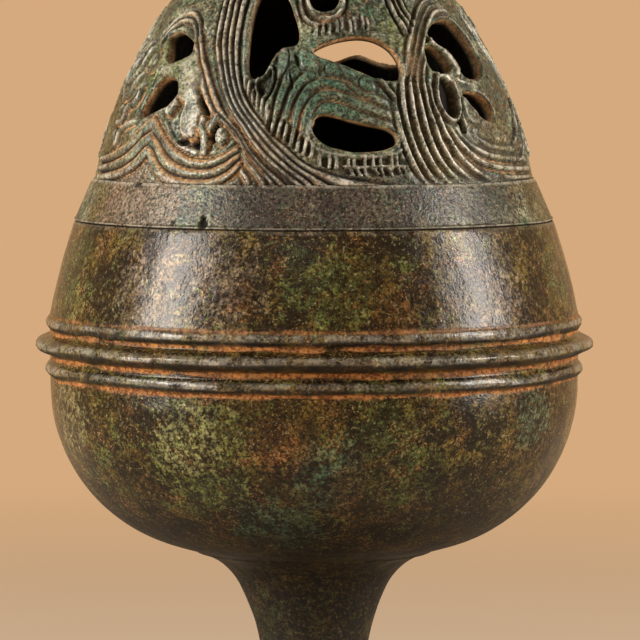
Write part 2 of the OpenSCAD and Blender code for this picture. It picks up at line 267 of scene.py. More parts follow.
def turned_piece(name, outline, columns, shape):
    """A closed half outline turned about the axis. shape moves the points and returns their marks."""
    rows = len(outline)
    degrees = np.arange(columns) * 360 / columns - 180
    r = np.repeat(outline[:, :1], columns, 1)
    z = np.repeat(outline[:, 1:], columns, 1)
    r, z, marks = shape(r, z, np.repeat(degrees[None], rows, 0))
    number = np.arange(rows * columns).reshape(rows, columns)
    up, side = np.roll(number, -1, 0), np.roll(number, -1, 1)
    quads = np.stack([number, side, np.roll(up, -1, 1), up], -1).reshape(-1, 4)
    points = place(r, np.repeat(degrees[None], rows, 0), z).reshape(-1, 3)
    return build_mesh(name, points, [quads], marks.reshape(-1, 4))


# Hills of the lid

class HillField:
    """Relief, vents, patina and painted light and shade of the hills, drawn on the dome over a span of
    degrees.
    """

    def __init__(self, span):
        low = math.asin((JOINT_Z + LID_BAND_H - DOME_CENTRE[1]) / DOME_SWEEP_R)
        high = math.acos((SUMMIT_R - DOME_CENTRE[0]) / DOME_SWEEP_R)
        slope = np.linspace(low, high, int((high - low) * DOME_SWEEP_R / LID_STEP))
        self.low = low
        self.span = span
        self.run = (slope - low) * DOME_SWEEP_R
        self.radius = DOME_CENTRE[0] + DOME_SWEEP_R * np.cos(slope)
        self.height = DOME_CENTRE[1] + DOME_SWEEP_R * np.sin(slope) - JOINT_Z
        self.degrees = FIRST_DEGREE + np.arange(LID_COLUMNS * span // 360) * 360 / LID_COLUMNS
        shape = (len(slope), len(self.degrees))
        self.level = np.full(shape, GROUND)
        self.vent = np.full(shape, FAR_FROM_VENT)
        # light lightens crests, partly as wear and partly as a painted highlight; shade is a painted shadow
        # beside strands
        self.cut, self.light, self.earth, self.shade = np.zeros((4,) + shape)

    def repeat(self, half, *layers):
        """Takes layers from a field of half the span, twice round."""
        for layer in layers:
            drawn = getattr(half, layer)
            setattr(self, layer, np.hstack([drawn, drawn]))

    def run_at(self, height):
        """Distance up the dome's side of a height above the joint."""
        sine = (np.asarray(height) + JOINT_Z - DOME_CENTRE[1]) / DOME_SWEEP_R
        return (np.arcsin(np.clip(sine, -1, 1)) - self.low) * DOME_SWEEP_R

    def areas(self, curve, reach):
        """The curve and its repeats in the span, each with the rows and columns within reach of it."""
        first, last = FIRST_DEGREE - REPEAT_REACH, FIRST_DEGREE + self.span + REPEAT_REACH
        for shift in (-self.span, 0, self.span):
            moved = curve + [shift, 0]
            if moved[:, 0].max() > first and moved[:, 0].min() < last:
                area = self.window(moved, reach)
                if area is not None:
                    yield moved, area

    def window(self, curve, reach):
        """Rows and columns within reach of a curve."""
        run = self.run_at(curve[:, 1])
        first, last = np.searchsorted(self.run, [run.min() - reach, run.max() + reach])
        if last <= first:
            return None
        wide = reach / max(self.radius[last - 1], 3) / RAD
        edges = [curve[:, 0].min() - wide, curve[:, 0].max() + wide]
        left, right = np.searchsorted(self.degrees, edges)
        if right <= left:
            return None
        return slice(first, last), slice(left, right)

    def distance(self, curve, area):
        """Distance in mm to a curve, and how far along it the nearest point is, from 0 to 1."""
        across = self.radius[area[0]][:, None] * RAD
        up = self.run[area[0]][:, None]
        at = self.degrees[area[1]][None]
        run = self.run_at(curve[:, 1])
        best = np.full((up.shape[0], at.shape[1]), np.inf)
        along = np.zeros_like(best)
        for i in range(len(curve) - 1):
            ax, ay = (curve[i, 0] - at) * across, run[i] - up
            dx, dy = (curve[i + 1, 0] - curve[i, 0]) * across, run[i + 1] - run[i]
            share = np.clip(-(ax * dx + ay * dy) / np.maximum(dx * dx + dy * dy, 1e-9), 0, 1)
            d = np.hypot(ax + share * dx, ay + share * dy)
            along = np.where(d < best, i + share, along)
            best = np.minimum(best, d)
        return best, along / (len(curve) - 1)

    def inside(self, outline, area):
        """True at points inside a closed outline."""
        z = self.height[area[0]][:, None]
        at = self.degrees[area[1]][None]
        hit = np.zeros((z.shape[0], at.shape[1]), bool)
        for (ta, za), (tb, zb) in zip(outline, np.roll(outline, -1, 0)):
            if za != zb:
                crosses = (za > z) != (zb > z)
                hit ^= crosses & (at < ta + (z - za) * (tb - ta) / (zb - za))
        return hit

    def closed(self, outline, reach):
        """For a ring's repeats: the area within reach, the distance from the ring, and its inside."""
        for curve, area in self.areas(ring(outline), reach):
            d, _ = self.distance(np.vstack([curve, curve[:1]]), area)
            yield area, d, self.inside(curve, area)

    def ends(self, curve, along, fade):
        """1 along a curve, easing to 0 over the last stretch at each end."""
        wide = np.diff(curve[:, 0]) * RAD * MEAN_R
        length = np.hypot(wide, np.diff(self.run_at(curve[:, 1]))).sum()
        return smooth(np.minimum(along, 1 - along) * length / fade)

    def raise_to(self, area, where, level):
        """Lifts the surface to a level where it is lower."""
        self.level[area] = np.where(where, np.maximum(self.level[area], level), self.level[area])

    def clear_lines(self, area, where):
        """Takes a bundle's earth and painted shadow off where another form covers it."""
        for layer in (self.earth, self.shade):
            layer[area] = np.where(where, 0, layer[area])

    def incise(self, area, away, depth):
        """Cuts a narrow groove where the distance away from its middle is small."""
        self.cut[area] = np.maximum(self.cut[area], depth * np.exp(-(away / GROOVE_WIDTH) ** 2))

    def ridge(self, points, width, top, fade=1.5, depth=GROOVE_DEPTH, light=0.0, bevel=BEVEL):
        """A strand of some width along a line, its crest at the level top, with a groove at each side."""
        for curve, area in self.areas(spline(points), width / 2 + GROOVE_REACH):
            d, along = self.distance(curve, area)
            ends = self.ends(curve, along, fade)
            rise = smooth((width / 2 - d) / bevel) * ends
            self.raise_to(area, d < width / 2, GROUND + (top - GROUND) * rise)
            self.light[area] = np.maximum(self.light[area], light * rise)
            self.incise(area, d - width / 2, depth * ends)

    def ridges(self, lines, *form, **more):
        """Strands of one form along several lines."""
        for points in lines:
            self.ridge(points, *form, **more)

    def bundle(self, count, top, lit, left, right):
        """Strands side by side between two lines, painted highlights on crests, soil and painted shadow
        beside them.
        """
        left, right = spline(left), spline(right)
        for edge, area in self.areas(np.vstack([left, right[::-1]]), GROOVE_REACH):
            a, _ = self.distance(edge[:len(left)], area)
            b, _ = self.distance(edge[len(left):], area)
            inside = self.inside(edge, area)
            pitch = np.maximum((a + b) / count, 1e-6)
            share = a / pitch - np.floor(a / pitch)
            past = np.where(share < 0.5, share, share - 1) * pitch
            wide_enough = smooth((pitch - EARTH_PITCH) / EARTH_FADE)
            layers = (
                (self.level, top - CROWN * (2 * share - 1) ** 2),
                (self.cut, 0),
                (self.earth, near(share * pitch - EARTH_AWAY, EARTH_HALF) * wide_enough),
                (self.light, lit * near(share - LIT_AT, LIT_HALF)),
                (self.shade, near(past - SHADE_AWAY, SHADE_HALF)),
            )
            for layer, value in layers:
                layer[area] = np.where(inside, value, layer[area])
            away = np.where(inside, np.minimum(share, 1 - share) * pitch, np.minimum(a, b))
            self.incise(area, away, GROOVE_DEPTH * np.clip(pitch / FULL_PITCH, 0.3, 1))

    def groove(self, points, width, depth, fade=1.0):
        """A sunk line."""
        for curve, area in self.areas(spline(points), width):
            d, along = self.distance(curve, area)
            deep = depth * self.ends(curve, along, fade) * near(d, width / 2, 1.3)
            self.cut[area] = np.maximum(self.cut[area], deep)

    def boss(self, outline, top, edge, light=0.0, depth=GROOVE_DEPTH):
        """A raised form whose top is rounded over the distance edge, with a groove round it."""
        for area, d, inside in self.closed(outline, edge):
            rise = np.sqrt(1 - (1 - np.clip(d / edge, 0, 1)) ** 2)
            self.raise_to(area, inside, GROUND + (top - GROUND) * rise)
            self.clear_lines(area, inside)
            self.light[area] = np.maximum(self.light[area], light * rise * inside)
            self.cut[area] = np.where(inside, self.cut[area] * np.exp(-(d / 0.5) ** 2), self.cut[area])
            self.incise(area, np.where(inside, 2 * d, d), depth)

    def hollow(self, outline, level, edge):
        """A pocket sunk to a level, with sides that slope over the distance edge."""
        for area, d, inside in self.closed(outline, edge):
            part = smooth(d / edge) * inside
            self.clear_lines(area, part > 0.5)
            self.level[area] = self.level[area] * (1 - part) + np.minimum(self.level[area], level) * part

    def open_vent(self, outline, reach=4.0):
        """Marks how far each point is outside a vent."""
        for area, d, inside in self.closed(outline, reach):
            self.vent[area] = np.minimum(self.vent[area], np.where(inside, -d, d))


# Outlines of the vents: degrees to the right of the front, mm above the joint
TALL_VENT = [
    (-24, 46), (-22.5, 35), (-20, 28), (-14.5, 28.5), (-11.5, 34.5), (-3, 34.5), (-7, 41.5), (-13, 46.5),
]
SLOT_VENT = [(-0.5, 21), (3, 22.2), (13, 20), (22.5, 19), (23.5, 15.5), (14, 14.2), (5, 15), (-0.5, 17.6)]
SIDE_VENT = [(84, 36), (92, 37.5), (97, 33), (94, 27), (87, 25), (83, 30)]
FRONT_VENTS = [
    [(-3, 33.4), (6, 36), (19, 36.9), (28, 34), (28.5, 28.5), (22, 27.4), (9, 31)],
    [(-3, 45.5), (0, 49), (8, 49.5), (12, 46), (10, 41.8), (3, 40.6), (-1.5, 42)],
    [(-60, 36.5), (-54, 38), (-41, 35), (-44, 32), (-52, 30.5), (-55, 34)],
    [(-52, 29), (-43, 28), (-42, 24), (-50, 22), (-57, 20), (-57, 24)],
    [(43, 38), (52, 40), (62, 39.5), (67, 33), (62, 27.6), (50, 28.4), (50, 33), (42, 35)],
    [(38, 34.5), (43, 34.8), (48, 30), (44, 29), (38, 29.7)],
    [(48, 26), (56, 25.8), (61.5, 22.8), (60.5, 19.7), (55, 20), (49, 24)],
]
BACK_VENTS = [
    [(149, 30), (147.5, 35), (152, 39), (166, 39.5), (178, 38.5), (181, 35), (180, 30.5), (173, 30.8),
     (165, 33), (157, 30.5)],
    [(139, 21), (144, 23.5), (150, 21), (149, 14), (143, 12.5), (139, 16)],
    [(208, 25), (214, 27), (220, 23), (218, 16), (211, 15), (207, 19)],
]


def half_turn(points):
    """The same points on the other side of the lid."""
    return [(degrees + 180, height) for degrees, height in points]


def draw_left_hills(field):
    """Arched rock, the long bundles of strands, the beast and the peak below it."""
    field.bundle(
        2, 0.25, 0.3,
        [(-61, 34.5), (-59, 36.8), (-55, 38.3), (-50, 38.6), (-46, 37.4), (-43, 35), (-41, 32.6)],
        [(-64, 36), (-60, 39.3), (-55, 41), (-49.5, 41.2), (-44.5, 39.6), (-41, 36.9), (-38.6, 34)])
    field.bundle(
        4, 0.38, 1.0,
        [(-38.5, 50), (-37.5, 43), (-36, 39.5), (-34.6, 36), (-32.7, 33), (-30, 29.7), (-27.5, 26.4),
         (-25, 23.6), (-22.3, 21.2), (-19.3, 18.8), (-16.3, 16), (-12.5, 13), (-8.5, 10.6), (-4, 8)],
        [(-26, 50), (-26.3, 43), (-25.8, 39.5), (-25, 36), (-24, 33), (-22.5, 29.5), (-20.3, 26),
         (-17.8, 23.3), (-14.8, 21), (-11.5, 18.7), (-8, 16.3), (-3.5, 13.3), (1, 11.4), (8, 9.8),
         (14, 9.1), (20, 8)])
    field.bundle(
        2, 0.42, 1.0,
        [(-42.3, 34), (-40, 31.5), (-37, 28.6), (-34, 25.5), (-31.5, 23), (-29, 21), (-26, 20),
         (-22.5, 18.3), (-20, 16.3), (-17.5, 13.8), (-14, 11.2), (-10.5, 8)],
        [(-40.5, 37), (-37.5, 34), (-34, 30.8), (-31, 28), (-28, 25), (-25.2, 22.3), (-22.5, 20.3),
         (-19.5, 18.2), (-16.5, 15.3), (-13, 12.5), (-9, 10), (-6, 8)])
    draw_beast(field)
    field.bundle(
        3, 0.25, 0.15,
        [(-49, 21.2), (-45, 18.8), (-41, 16.4), (-37, 14.6), (-33, 13.5), (-28.5, 13.3), (-25, 14),
         (-21.5, 15.2), (-20, 16)],
        [(-48.6, 13), (-46, 10.6), (-42, 8.6), (-37, 7.7), (-32, 7.4), (-27, 7.7), (-23, 8.7), (-20, 10.4),
         (-18.4, 11.8)])
    field.bundle(
        3, 0.25, 0.15,
        [(-49.4, 21.3), (-53, 19.9), (-56.5, 18), (-60, 16), (-64, 14.8), (-70, 13.8), (-77, 13.2)],
        [(-49, 13), (-52, 11.2), (-56, 9.7), (-61, 8.8), (-67, 8.3), (-77, 8)])
    chevrons = [
        [(-29, 8.2), (-24, 9.3), (-21, 10.4), (-19.4, 11.5), (-17.6, 10.2), (-15.8, 8)],
        [(-18.8, 14.7), (-16.5, 12.3), (-14, 10.3), (-12, 8)],
    ]
    field.ridges(chevrons, 1.5, 0.25)
    field.boss([(-64.5, 31.5), (-62.5, 34), (-58.5, 34), (-56, 31.8), (-58, 29.2), (-62.5, 29)], 0.3, 1.4)
    field.groove([(-63, 32.5), (-60.5, 33.3), (-58, 32.2), (-58.3, 30.4), (-61, 29.9),
                  (-63, 31)], 0.9, 0.5, 0.4)
    rocks = [
        [(-60.5, 33.5), (-62, 30.5), (-65, 28), (-67.5, 25.6), (-70.5, 24.6), (-74, 23.8)],
        [(-59, 27.6), (-60.4, 26.6), (-60.2, 24.6), (-62.5, 23.2), (-65.6, 22.4), (-66.2, 20.4),
         (-69, 19.7), (-73, 19.6)],
        [(-56.5, 20.4), (-60.2, 19.6), (-63.6, 18.8), (-66.4, 17.6), (-67, 15.8), (-70, 15.2)],
        [(-64, 35), (-66, 31.5), (-69.5, 28.6), (-73.5, 26.6)],
        [(-68, 36), (-70.5, 32), (-74.5, 29)],
    ]
    field.ridges(rocks, 1.9, 0.4, fade=2.0, depth=0.8, light=0.3, bevel=ROUND_BEVEL)
    crevices = [
        [(-71, 23.6), (-67.5, 23.2), (-67.4, 21.6), (-70.6, 20.4), (-74, 20.8), (-73, 22.3)],
        [(-71.4, 19), (-68, 18.4), (-68, 16.6), (-70.2, 16.2), (-72, 17)],
        [(-64.4, 26.2), (-61, 25.7), (-62.3, 24.6), (-65.4, 24.6)],
    ]
    for outline in crevices:
        field.hollow(outline, -1.6, 0.5)


def draw_beast(field):
    """A beast that stands among the hills on the left, its head to the left."""
    niche = [
        (-57, 31), (-55, 22), (-49, 21), (-46, 21.5), (-41.5, 17.5), (-38, 15.5), (-30, 14.2), (-24, 15),
        (-22.5, 17.5), (-25.5, 20.2), (-28.5, 21.6), (-32.5, 24.6), (-36.5, 28.2), (-41.5, 32.4),
        (-50, 31.5),
    ]
    field.hollow(niche, -0.75, 0.6)
    body = [
        (-54, 29), (-53.2, 30.8), (-48, 31.6), (-43, 32.4), (-41, 33.6), (-38, 31.8), (-35, 28),
        (-34, 24.8), (-31.6, 22.8), (-29.4, 20.8), (-29.6, 18.4), (-31.2, 17.2), (-33.5, 16.4),
        (-37, 16.8), (-39, 19), (-39.4, 21), (-38.6, 23.2), (-42, 24.6), (-44, 26.6), (-45, 28),
        (-48, 28.2),
    ]
    foreleg = [(-43.6, 26.4), (-40.6, 24.4), (-41.8, 22), (-43.5, 20.6), (-46.6, 21.8), (-43.6, 23.8)]
    hind_leg = [(-32.2, 21.8), (-29.2, 20.6), (-28.6, 16.6), (-28, 13.2), (-31, 13.2), (-31, 16.6),
                (-31.8, 18)]
    tail = [(-30.2, 20.2), (-27.5, 22), (-25.6, 20.4), (-27.3, 18.6), (-28.5, 17.6), (-29.8, 18.8)]
    knob = [
        (-27.2, 17.2), (-26.6, 18.8), (-25.2, 19.4), (-23.4, 18.6), (-22.8, 17.2), (-23.4, 15.8),
        (-25, 15.3), (-26.3, 16),
    ]
    forms = [
        (body, 0.6, 1.9, 0.5), (foreleg, 0.45, 1.0, 0.5), (hind_leg, 0.4, 0.9, 0.5), (tail, 0.4, 0.9, 0.5),
        (knob, 0.5, 1.3, 0.9),
    ]
    for outline, top, edge, light in forms:
        field.boss(outline, top, edge, light)
    field.groove([(-35.6, 16.9), (-33.6, 16.7), (-32.5, 17.4), (-32.5, 18.5), (-33.5, 18.8)], 0.7, 0.9, 0.4)
    holes = [
        [(-41.2, 21.2), (-40.2, 24), (-38.3, 24), (-38.3, 22), (-40, 20.4)],
        [(-35.2, 26), (-33.2, 24.6), (-29.6, 21.4), (-30.8, 20.9), (-33.8, 23.2)],
        [(-39.2, 16.6), (-36, 17.3), (-34.8, 16), (-36.5, 15.3), (-38.7, 15.8)],
        [(-33.8, 16.4), (-31.4, 17.1), (-30.4, 15.8), (-32, 14.7), (-33.8, 15.5)],
        [(-28.6, 16.2), (-28.7, 18.2), (-27.5, 20), (-26.2, 20.2), (-27.3, 18), (-26.9, 16)],
    ]
    for outline in holes:
        field.hollow(outline, -1.8, 0.35)


def draw_middle_hills(field):
    """Arcs over the slot, the strokes left of them, and the small rocks under the top vents."""
    arcs = [
        [(-2, 16.4), (-2.4, 19), (-1.6, 22), (0.6, 24.4), (4, 25.3), (9, 24.6), (15, 22.9), (23, 21)],
        [(-5, 17.6), (-5, 21), (-3.6, 24.2), (-1, 26.6), (3.4, 27.6), (8, 27), (13, 25.6), (22, 23.2)],
        [(-7.6, 19.5), (-7.2, 22.5), (-5.8, 25.6), (-3.4, 28), (-0.4, 29.4)],
        [(-10, 21), (-9.4, 24), (-8.4, 26.6), (-7.2, 28.8)],
    ]
    field.ridges(arcs, 2.2, 0.1, depth=0.75)
    field.groove([(-3.6, 17.4), (-3.8, 20.4), (-2.6, 23.4), (0, 25.6)], 0.5, 0.4)
    stroke = {"width": 0.95, "top": 0.3, "fade": 0.5, "depth": 0.3, "light": 1.0}
    field.hollow([(-14, 18.6), (-13, 22.6), (-6, 20.5), (0, 15.5), (0, 13.2), (-6, 14.8)], -0.85, 0.5)
    for k in range(8):
        at, z = -13 + 1.75 * k, 19.3 - 0.83 * k
        field.ridge([(at, z), (at + 0.4, z + 1.6), (at + 0.8, z + 3.2)], **stroke)
    field.hollow([(-21, 26.4), (-20.4, 29.4), (-15, 25.6), (-12.4, 22.4), (-13.6, 20.6)], -0.85, 0.5)
    for k in range(6):
        at, z = -20.2 + 1.5 * k, 26.3 - 1.1 * k
        field.ridge([(at, z), (at - 0.3, z + 1.5), (at - 0.2, z + 2.8)], **stroke)
    field.hollow([(-16.6, 27), (-14.6, 30.6), (-12.3, 29.8), (-13, 26.4), (-15, 24.6)], -1.1, 0.6)
    small_ring = [(-15.8, 25.1), (-16.9, 27.4), (-15, 30), (-12.6, 30.3), (-12, 28.4), (-13, 25.8),
                  (-14.6, 24.4)]
    field.ridge(small_ring, 0.9, 0.35, fade=0.5)
    field.boss([(-11.5, 31), (-10.5, 34.3), (-8.5, 34.5), (-7.5, 32), (-9, 28.5),
                (-11, 28)], 0.3, 1.3, depth=0.4)
    field.boss([(-5, 34), (-2, 34), (1, 32), (4, 30), (0, 29.7), (-4, 29.5)], 0.25, 1.2, depth=0.4)
    field.hollow([(-7, 33.4), (-4.8, 33.4), (-3.5, 30.6), (-5.4, 30.4)], -1.2, 0.6)
    field.hollow([(-8, 29.6), (-6.4, 29.6), (-5.2, 26.3), (-6.8, 26)], -1.2, 0.5)
    field.boss([(4, 31.5), (9, 31), (13, 29.3), (12, 28), (7, 28.8), (3, 29.6)], 0.25, 1.0, depth=0.4)
    field.boss([(13, 28.3), (15.5, 29), (18.5, 27.5), (18, 25.5), (14.5, 25.6)], 0.2, 1.2, depth=0.5)
    field.groove([(0, 32.4), (1.6, 30.6), (2, 28.9)], 0.8, 0.5, 0.6)
    field.groove([(7, 30.8), (8.6, 29.4), (9.2, 28)], 0.8, 0.5, 0.6)
    field.ridge([(18.5, 29), (20.5, 27.6), (22.5, 25.8), (24.3, 24)], 1.3, 0.3)
    field.ridge([(8.5, 28.2), (11, 27), (14, 25.3), (18, 24.9)], 1.2, 0.2)
    draw_slot_strokes(field)
    field.ridge([(-3, 45), (-1.4, 41.6), (2, 39.9), (7, 39.9), (11, 42), (12.5, 45)], 1.1, 0.3)
    field.ridge([(-5.5, 44.5), (-3.8, 40.6), (0, 38.7), (5, 38.6)], 1.0, 0.2)
    ledge = [
        (-3, 34), (0, 35.6), (8, 37.2), (20, 37.4), (29, 35.4), (30, 33), (30.6, 36.4), (21, 40.4),
        (10, 39.6), (-1, 38.6),
    ]
    field.hollow(ledge, -0.5, 0.7)
    for k in range(9):
        at = 0.6 + 2.3 * k + 0.4 * math.sin(2.9 * k)
        z = 36.6 + 0.13 * k + 0.4 * math.sin(2.1 * k)
        points = [(at, z), (at + 0.5, z + 1.3), (at + 0.3, z + 2.6)]
        field.ridge(points, 0.8, 0.2, fade=0.5, depth=0.2, light=0.8)


def draw_slot_strokes(field):
    """Rim of the slot, and two rows of short strokes under it with a line between them."""
    rim = [(-1.4, 20), (-1.4, 17.4), (1, 15.2), (6, 14.2), (14, 13.6), (21, 14.2), (24, 15.2)]
    field.ridge(rim, 0.8, 0.25, fade=1.0, depth=0.2, light=0.9)
    field.hollow([(0, 14.2), (8, 13.5), (25.6, 14), (26.4, 10), (10, 9.6), (1.5, 11.6)], -0.85, 0.5)
    for k in range(11):
        at = 1.4 + 2.3 * k + 0.5 * math.sin(2.6 * k)
        low = 11.8 + 0.5 * math.sin(3.1 * k)
        points = [(at, 14.3), (at + 0.2, 13.2), (at + 0.1, low)]
        field.ridge(points, 0.75, 0.2, fade=0.4, depth=0.2, light=0.8)
    for k in range(8):
        at = 9 + 2.1 * k + 0.4 * math.sin(2.2 * k + 1)
        low = 10.2 + 0.4 * math.sin(2.7 * k)
        points = [(at, 11.7), (at + 0.4, 11), (at + 0.8, low)]
        field.ridge(points, 0.7, 0.1, fade=0.4, depth=0.2, light=0.6)
    between = [(8, 12), (12, 11.8), (17, 12), (22, 11.9), (26, 12)]
    field.ridge(between, 0.6, 0.05, fade=0.6, depth=0.1, light=0.4)


def draw_right_hills(field):
    """The waisted bundle, its fan over the band, and the limbs and loop between the vents."""
    strands = [
        [(22.5, 26), (23.3, 22), (23.8, 19), (24.8, 16), (26, 13), (27.5, 10.8), (30, 8)],
        [(34.7, 26), (35.8, 22.4), (37.2, 19), (38.7, 16.5), (41, 13.8), (44.2, 11.6), (48, 10), (56, 8)],
        [(38.6, 20.2), (40.3, 17.7), (42.6, 15.6), (45.7, 13.7), (49.3, 12.3), (54, 11.4), (60, 10.9),
         (70, 10.6), (84, 10.4)],
        [(58, 43.5), (50, 43.1), (44.5, 41.8), (39.8, 39.6), (36.2, 37.5), (33.2, 35), (31, 32.5),
         (28.8, 30), (26.8, 27.5), (25.9, 24), (25.9, 20), (26.7, 16.5), (28.4, 13), (30.3, 10.5), (33, 8)],
        [(57, 42.3), (49.5, 42), (43.8, 40.2), (39.5, 37.9), (36, 35.3), (33.6, 33), (31.2, 30.5),
         (29.4, 28), (28.7, 24), (28.7, 20), (29.6, 16.5), (31.4, 13), (33.7, 10.5), (37.5, 8)],
        [(63, 40.3), (57, 41.2), (50.5, 40.8), (45.3, 39.2), (41.5, 37.4), (38.2, 35), (35.6, 32.7),
         (33.3, 30.5), (31.7, 28), (31.4, 24), (31.5, 20), (32.4, 16.5), (34.4, 13), (37, 10.6), (42, 8)],
        [(38.2, 34), (36.8, 32), (35, 30), (33.8, 28), (33.6, 24), (34.3, 20), (35.4, 16.5), (37.5, 13.3),
         (40.2, 11), (47, 8)],
    ]
    field.ridges(strands, 1.75, 0.3, fade=5.0, bevel=ROUND_BEVEL)
    faint = [
        [(43.5, 17.4), (47, 15.3), (51, 14), (55.5, 13.3), (61, 12.9), (70, 12.5), (84, 12.2)],
        [(56, 9.9), (62, 9.2), (72, 9.1), (82, 9)],
        [(48, 17.8), (53, 15.6), (60, 14.8), (70, 14.6), (80, 15)],
    ]
    field.ridges(faint, 1.5, 0.05, fade=5.0, depth=0.4)
    upper = [
        [(30.6, 50), (30.7, 46), (30.9, 42), (32, 39), (33.4, 36.2)],
        [(33, 50), (33, 46), (33.2, 42), (34.2, 39.6), (35.6, 37.5)],
        [(35.4, 50), (35.4, 46), (35.5, 42), (36.5, 40.2), (38, 38.6)],
    ]
    field.ridges(upper, 1.45, 0.35)
    field.hollow([(40, 29), (44, 28.8), (45, 25.5), (43.4, 21.3), (41, 20.2), (38.4, 21.8),
                  (38.6, 25)], -1.9, 0.5)
    loop = [
        (40.5, 29.6), (38.2, 26.5), (37.6, 23.5), (39, 21.2), (41.5, 20.2), (43.8, 21.2), (45.3, 24.5),
        (45.4, 28),
    ]
    field.ridge(loop, 1.2, 0.45, fade=0.8)
    field.ridge([(41, 35.4), (44, 34.9), (47.2, 32.4), (48.8, 29.8), (47.2, 28.6)], 1.8, 0.45, fade=0.6)
    field.ridge([(46.5, 28.2), (50, 27.3), (55, 26.9)], 1.4, 0.25, fade=0.8, depth=0.4)
    field.hollow([(43.6, 20.6), (45.8, 21.2), (46.2, 18.4), (44.2, 17.2), (42.8, 18.8)], -1.4, 0.6)
    field.boss([(46.5, 24.5), (49, 25), (53, 21.5), (52, 19), (47.5, 19.5),
                (46, 21.8)], 0.15, 1.3, depth=0.4)


def draw_side_and_top_hills(field):
    """A peak at each side, strands round the side vent, and the ring of peaks under the summit."""
    for k in range(4):
        low = 1.9 * k
        peak = [(66 + 0.3 * low, 14 - 0.1 * low), (72, 17.2 - 0.8 * low), (77, 21.5 - low),
                (79.5, 23.8 - low), (82, 21.5 - low), (87, 17.6 - 0.8 * low), (95, 14.6 - 0.3 * low)]
        field.ridge(peak, 1.6, 0.3)
    side = [
        [(70, 41), (72, 37), (74, 33), (77, 29.5), (80.5, 26.5)],
        [(73, 42), (75, 38), (77, 34), (80, 30), (82.4, 25)],
        [(76, 43), (78, 39), (80.5, 36)],
        [(103, 24), (101, 28), (100, 33), (98, 37), (93, 39.6), (86, 39.6), (81, 37)],
        [(106, 24), (103.5, 29), (102.5, 34), (100, 38.6), (94, 41.5), (86, 41.7), (80, 40)],
    ]
    field.ridges(side, 1.5, 0.15, depth=0.5, bevel=ROUND_BEVEL)
    for at in (-62, -8, 60):
        for k in range(4):
            low, wide = 2.1 * k, 23 - 1.2 * k
            slope = [(wide + 4, 46.5 - 0.3 * low), (wide * 0.6, 50.5 - 0.8 * low),
                     (wide * 0.25, 55.5 - low)]
            left = [(at - d, z) for d, z in slope]
            right = [(at + d, z) for d, z in reversed(slope)]
            field.ridge(left + [(at, 58.8 - low)] + right, 1.4, 0.35)
    for at in range(-90, 90, 30):
        field.ridge([(at, 58), (at + 2, 60), (at + 5, 61.6), (at + 9, 62.6)], 1.3, 0.3)


# Roughness of the sunk ground and of the vents' lips, by height, size and seed
GROUND_ROUGH = [(0.22, 2.6, 61), (0.14, 1.2, 62)]
LIP_ROUGH = [(0.25, 4.5, 63)]


def carved_lid():
    """The whole lid's relief and vents. The back repeats the front, with other vents."""
    half = HillField(180)
    for draw in (draw_side_and_top_hills, draw_left_hills, draw_middle_hills, draw_right_hills):
        draw(half)
    field = HillField(360)
    field.repeat(half, "level", "cut")
    for outline in FRONT_VENTS:
        field.hollow(half_turn(outline), -1.1, 1.2)
    field.repeat(half, "light", "earth", "shade")
    for outline in FRONT_VENTS + BACK_VENTS + [TALL_VENT, SLOT_VENT, SIDE_VENT]:
        field.open_vent(outline)
    for outline in (SLOT_VENT, SIDE_VENT):
        field.open_vent(half_turn(outline))
    base = dome_point(field, field.degrees[None], field.run[:, None], 0)
    field.level += np.clip(-field.level * 4, 0, 1) * rough(base, GROUND_ROUGH)
    beside = smooth((1 - field.vent / LIP_REACH) * 1.6)
    lip = LIP_LEVEL + rough(base, LIP_ROUGH)
    field.level = field.level * (1 - beside) + np.maximum(field.level, lip) * beside
    field.level -= LIP_DROP * np.clip(1 - field.vent / LIP_DROP_REACH, 0, 1) ** 2
    field.cut *= 1 - beside
    return field


def snap_to_vents(field):
    """Moves points beside a vent's edge onto it.

    Returns angle, run, side of the edge (-1, 0, 1) and the slope of the distance across the edge.
    """
    across = field.radius[:, None] * RAD * 360 / LID_COLUMNS
    slope_x = (np.roll(field.vent, -1, 1) - np.roll(field.vent, 1, 1)) / (2 * across)
    slope_y = np.gradient(field.vent, axis=0) / (field.run[1] - field.run[0])
    steep = np.maximum(np.hypot(slope_x, slope_y), 1e-6)
    slope_x, slope_y = slope_x / steep, slope_y / steep
    beside = np.abs(field.vent) < SNAP_REACH * LID_STEP
    move = np.where(beside, field.vent, 0)
    degrees = field.degrees[None] - move * slope_x / (field.radius[:, None] * RAD)
    run = field.run[:, None] - move * slope_y
    side = np.where(beside, 0, np.sign(field.vent)).astype(int)
    return degrees, run, side, (slope_x, slope_y)


def dome_point(field, degrees, run, rise):
    """Points in space on the dome, raised along its slope's normal."""
    a = field.low + run / DOME_SWEEP_R
    radius = DOME_CENTRE[0] + (DOME_SWEEP_R + rise) * np.cos(a)
    return place(radius, degrees, DOME_CENTRE[1] + (DOME_SWEEP_R + rise) * np.sin(a))


def open_cells(number, side):
    """Quads and triangles of a grid, left out where a vent is. Also the mask of whole cells."""
    corner = [number[:-1], np.roll(number, -1, 1)[:-1], np.roll(number, -1, 1)[1:], number[1:]]
    sides = [side[:-1], np.roll(side, -1, 1)[:-1], np.roll(side, -1, 1)[1:], side[1:]]
    corner, sides = np.stack(corner, -1), np.stack(sides, -1)
    whole = (sides >= 0).all(-1) & (sides.sum(-1) > 0)
    cut = (sides < 0).any(-1) & (sides > 0).any(-1)
    halves = []
    for k in range(4):
        chosen = cut & (sides[..., k] > 0)
        halves.append(corner[chosen][:, [(k - 1) % 4, k, (k + 1) % 4]])
    return corner, whole, np.vstack(halves)


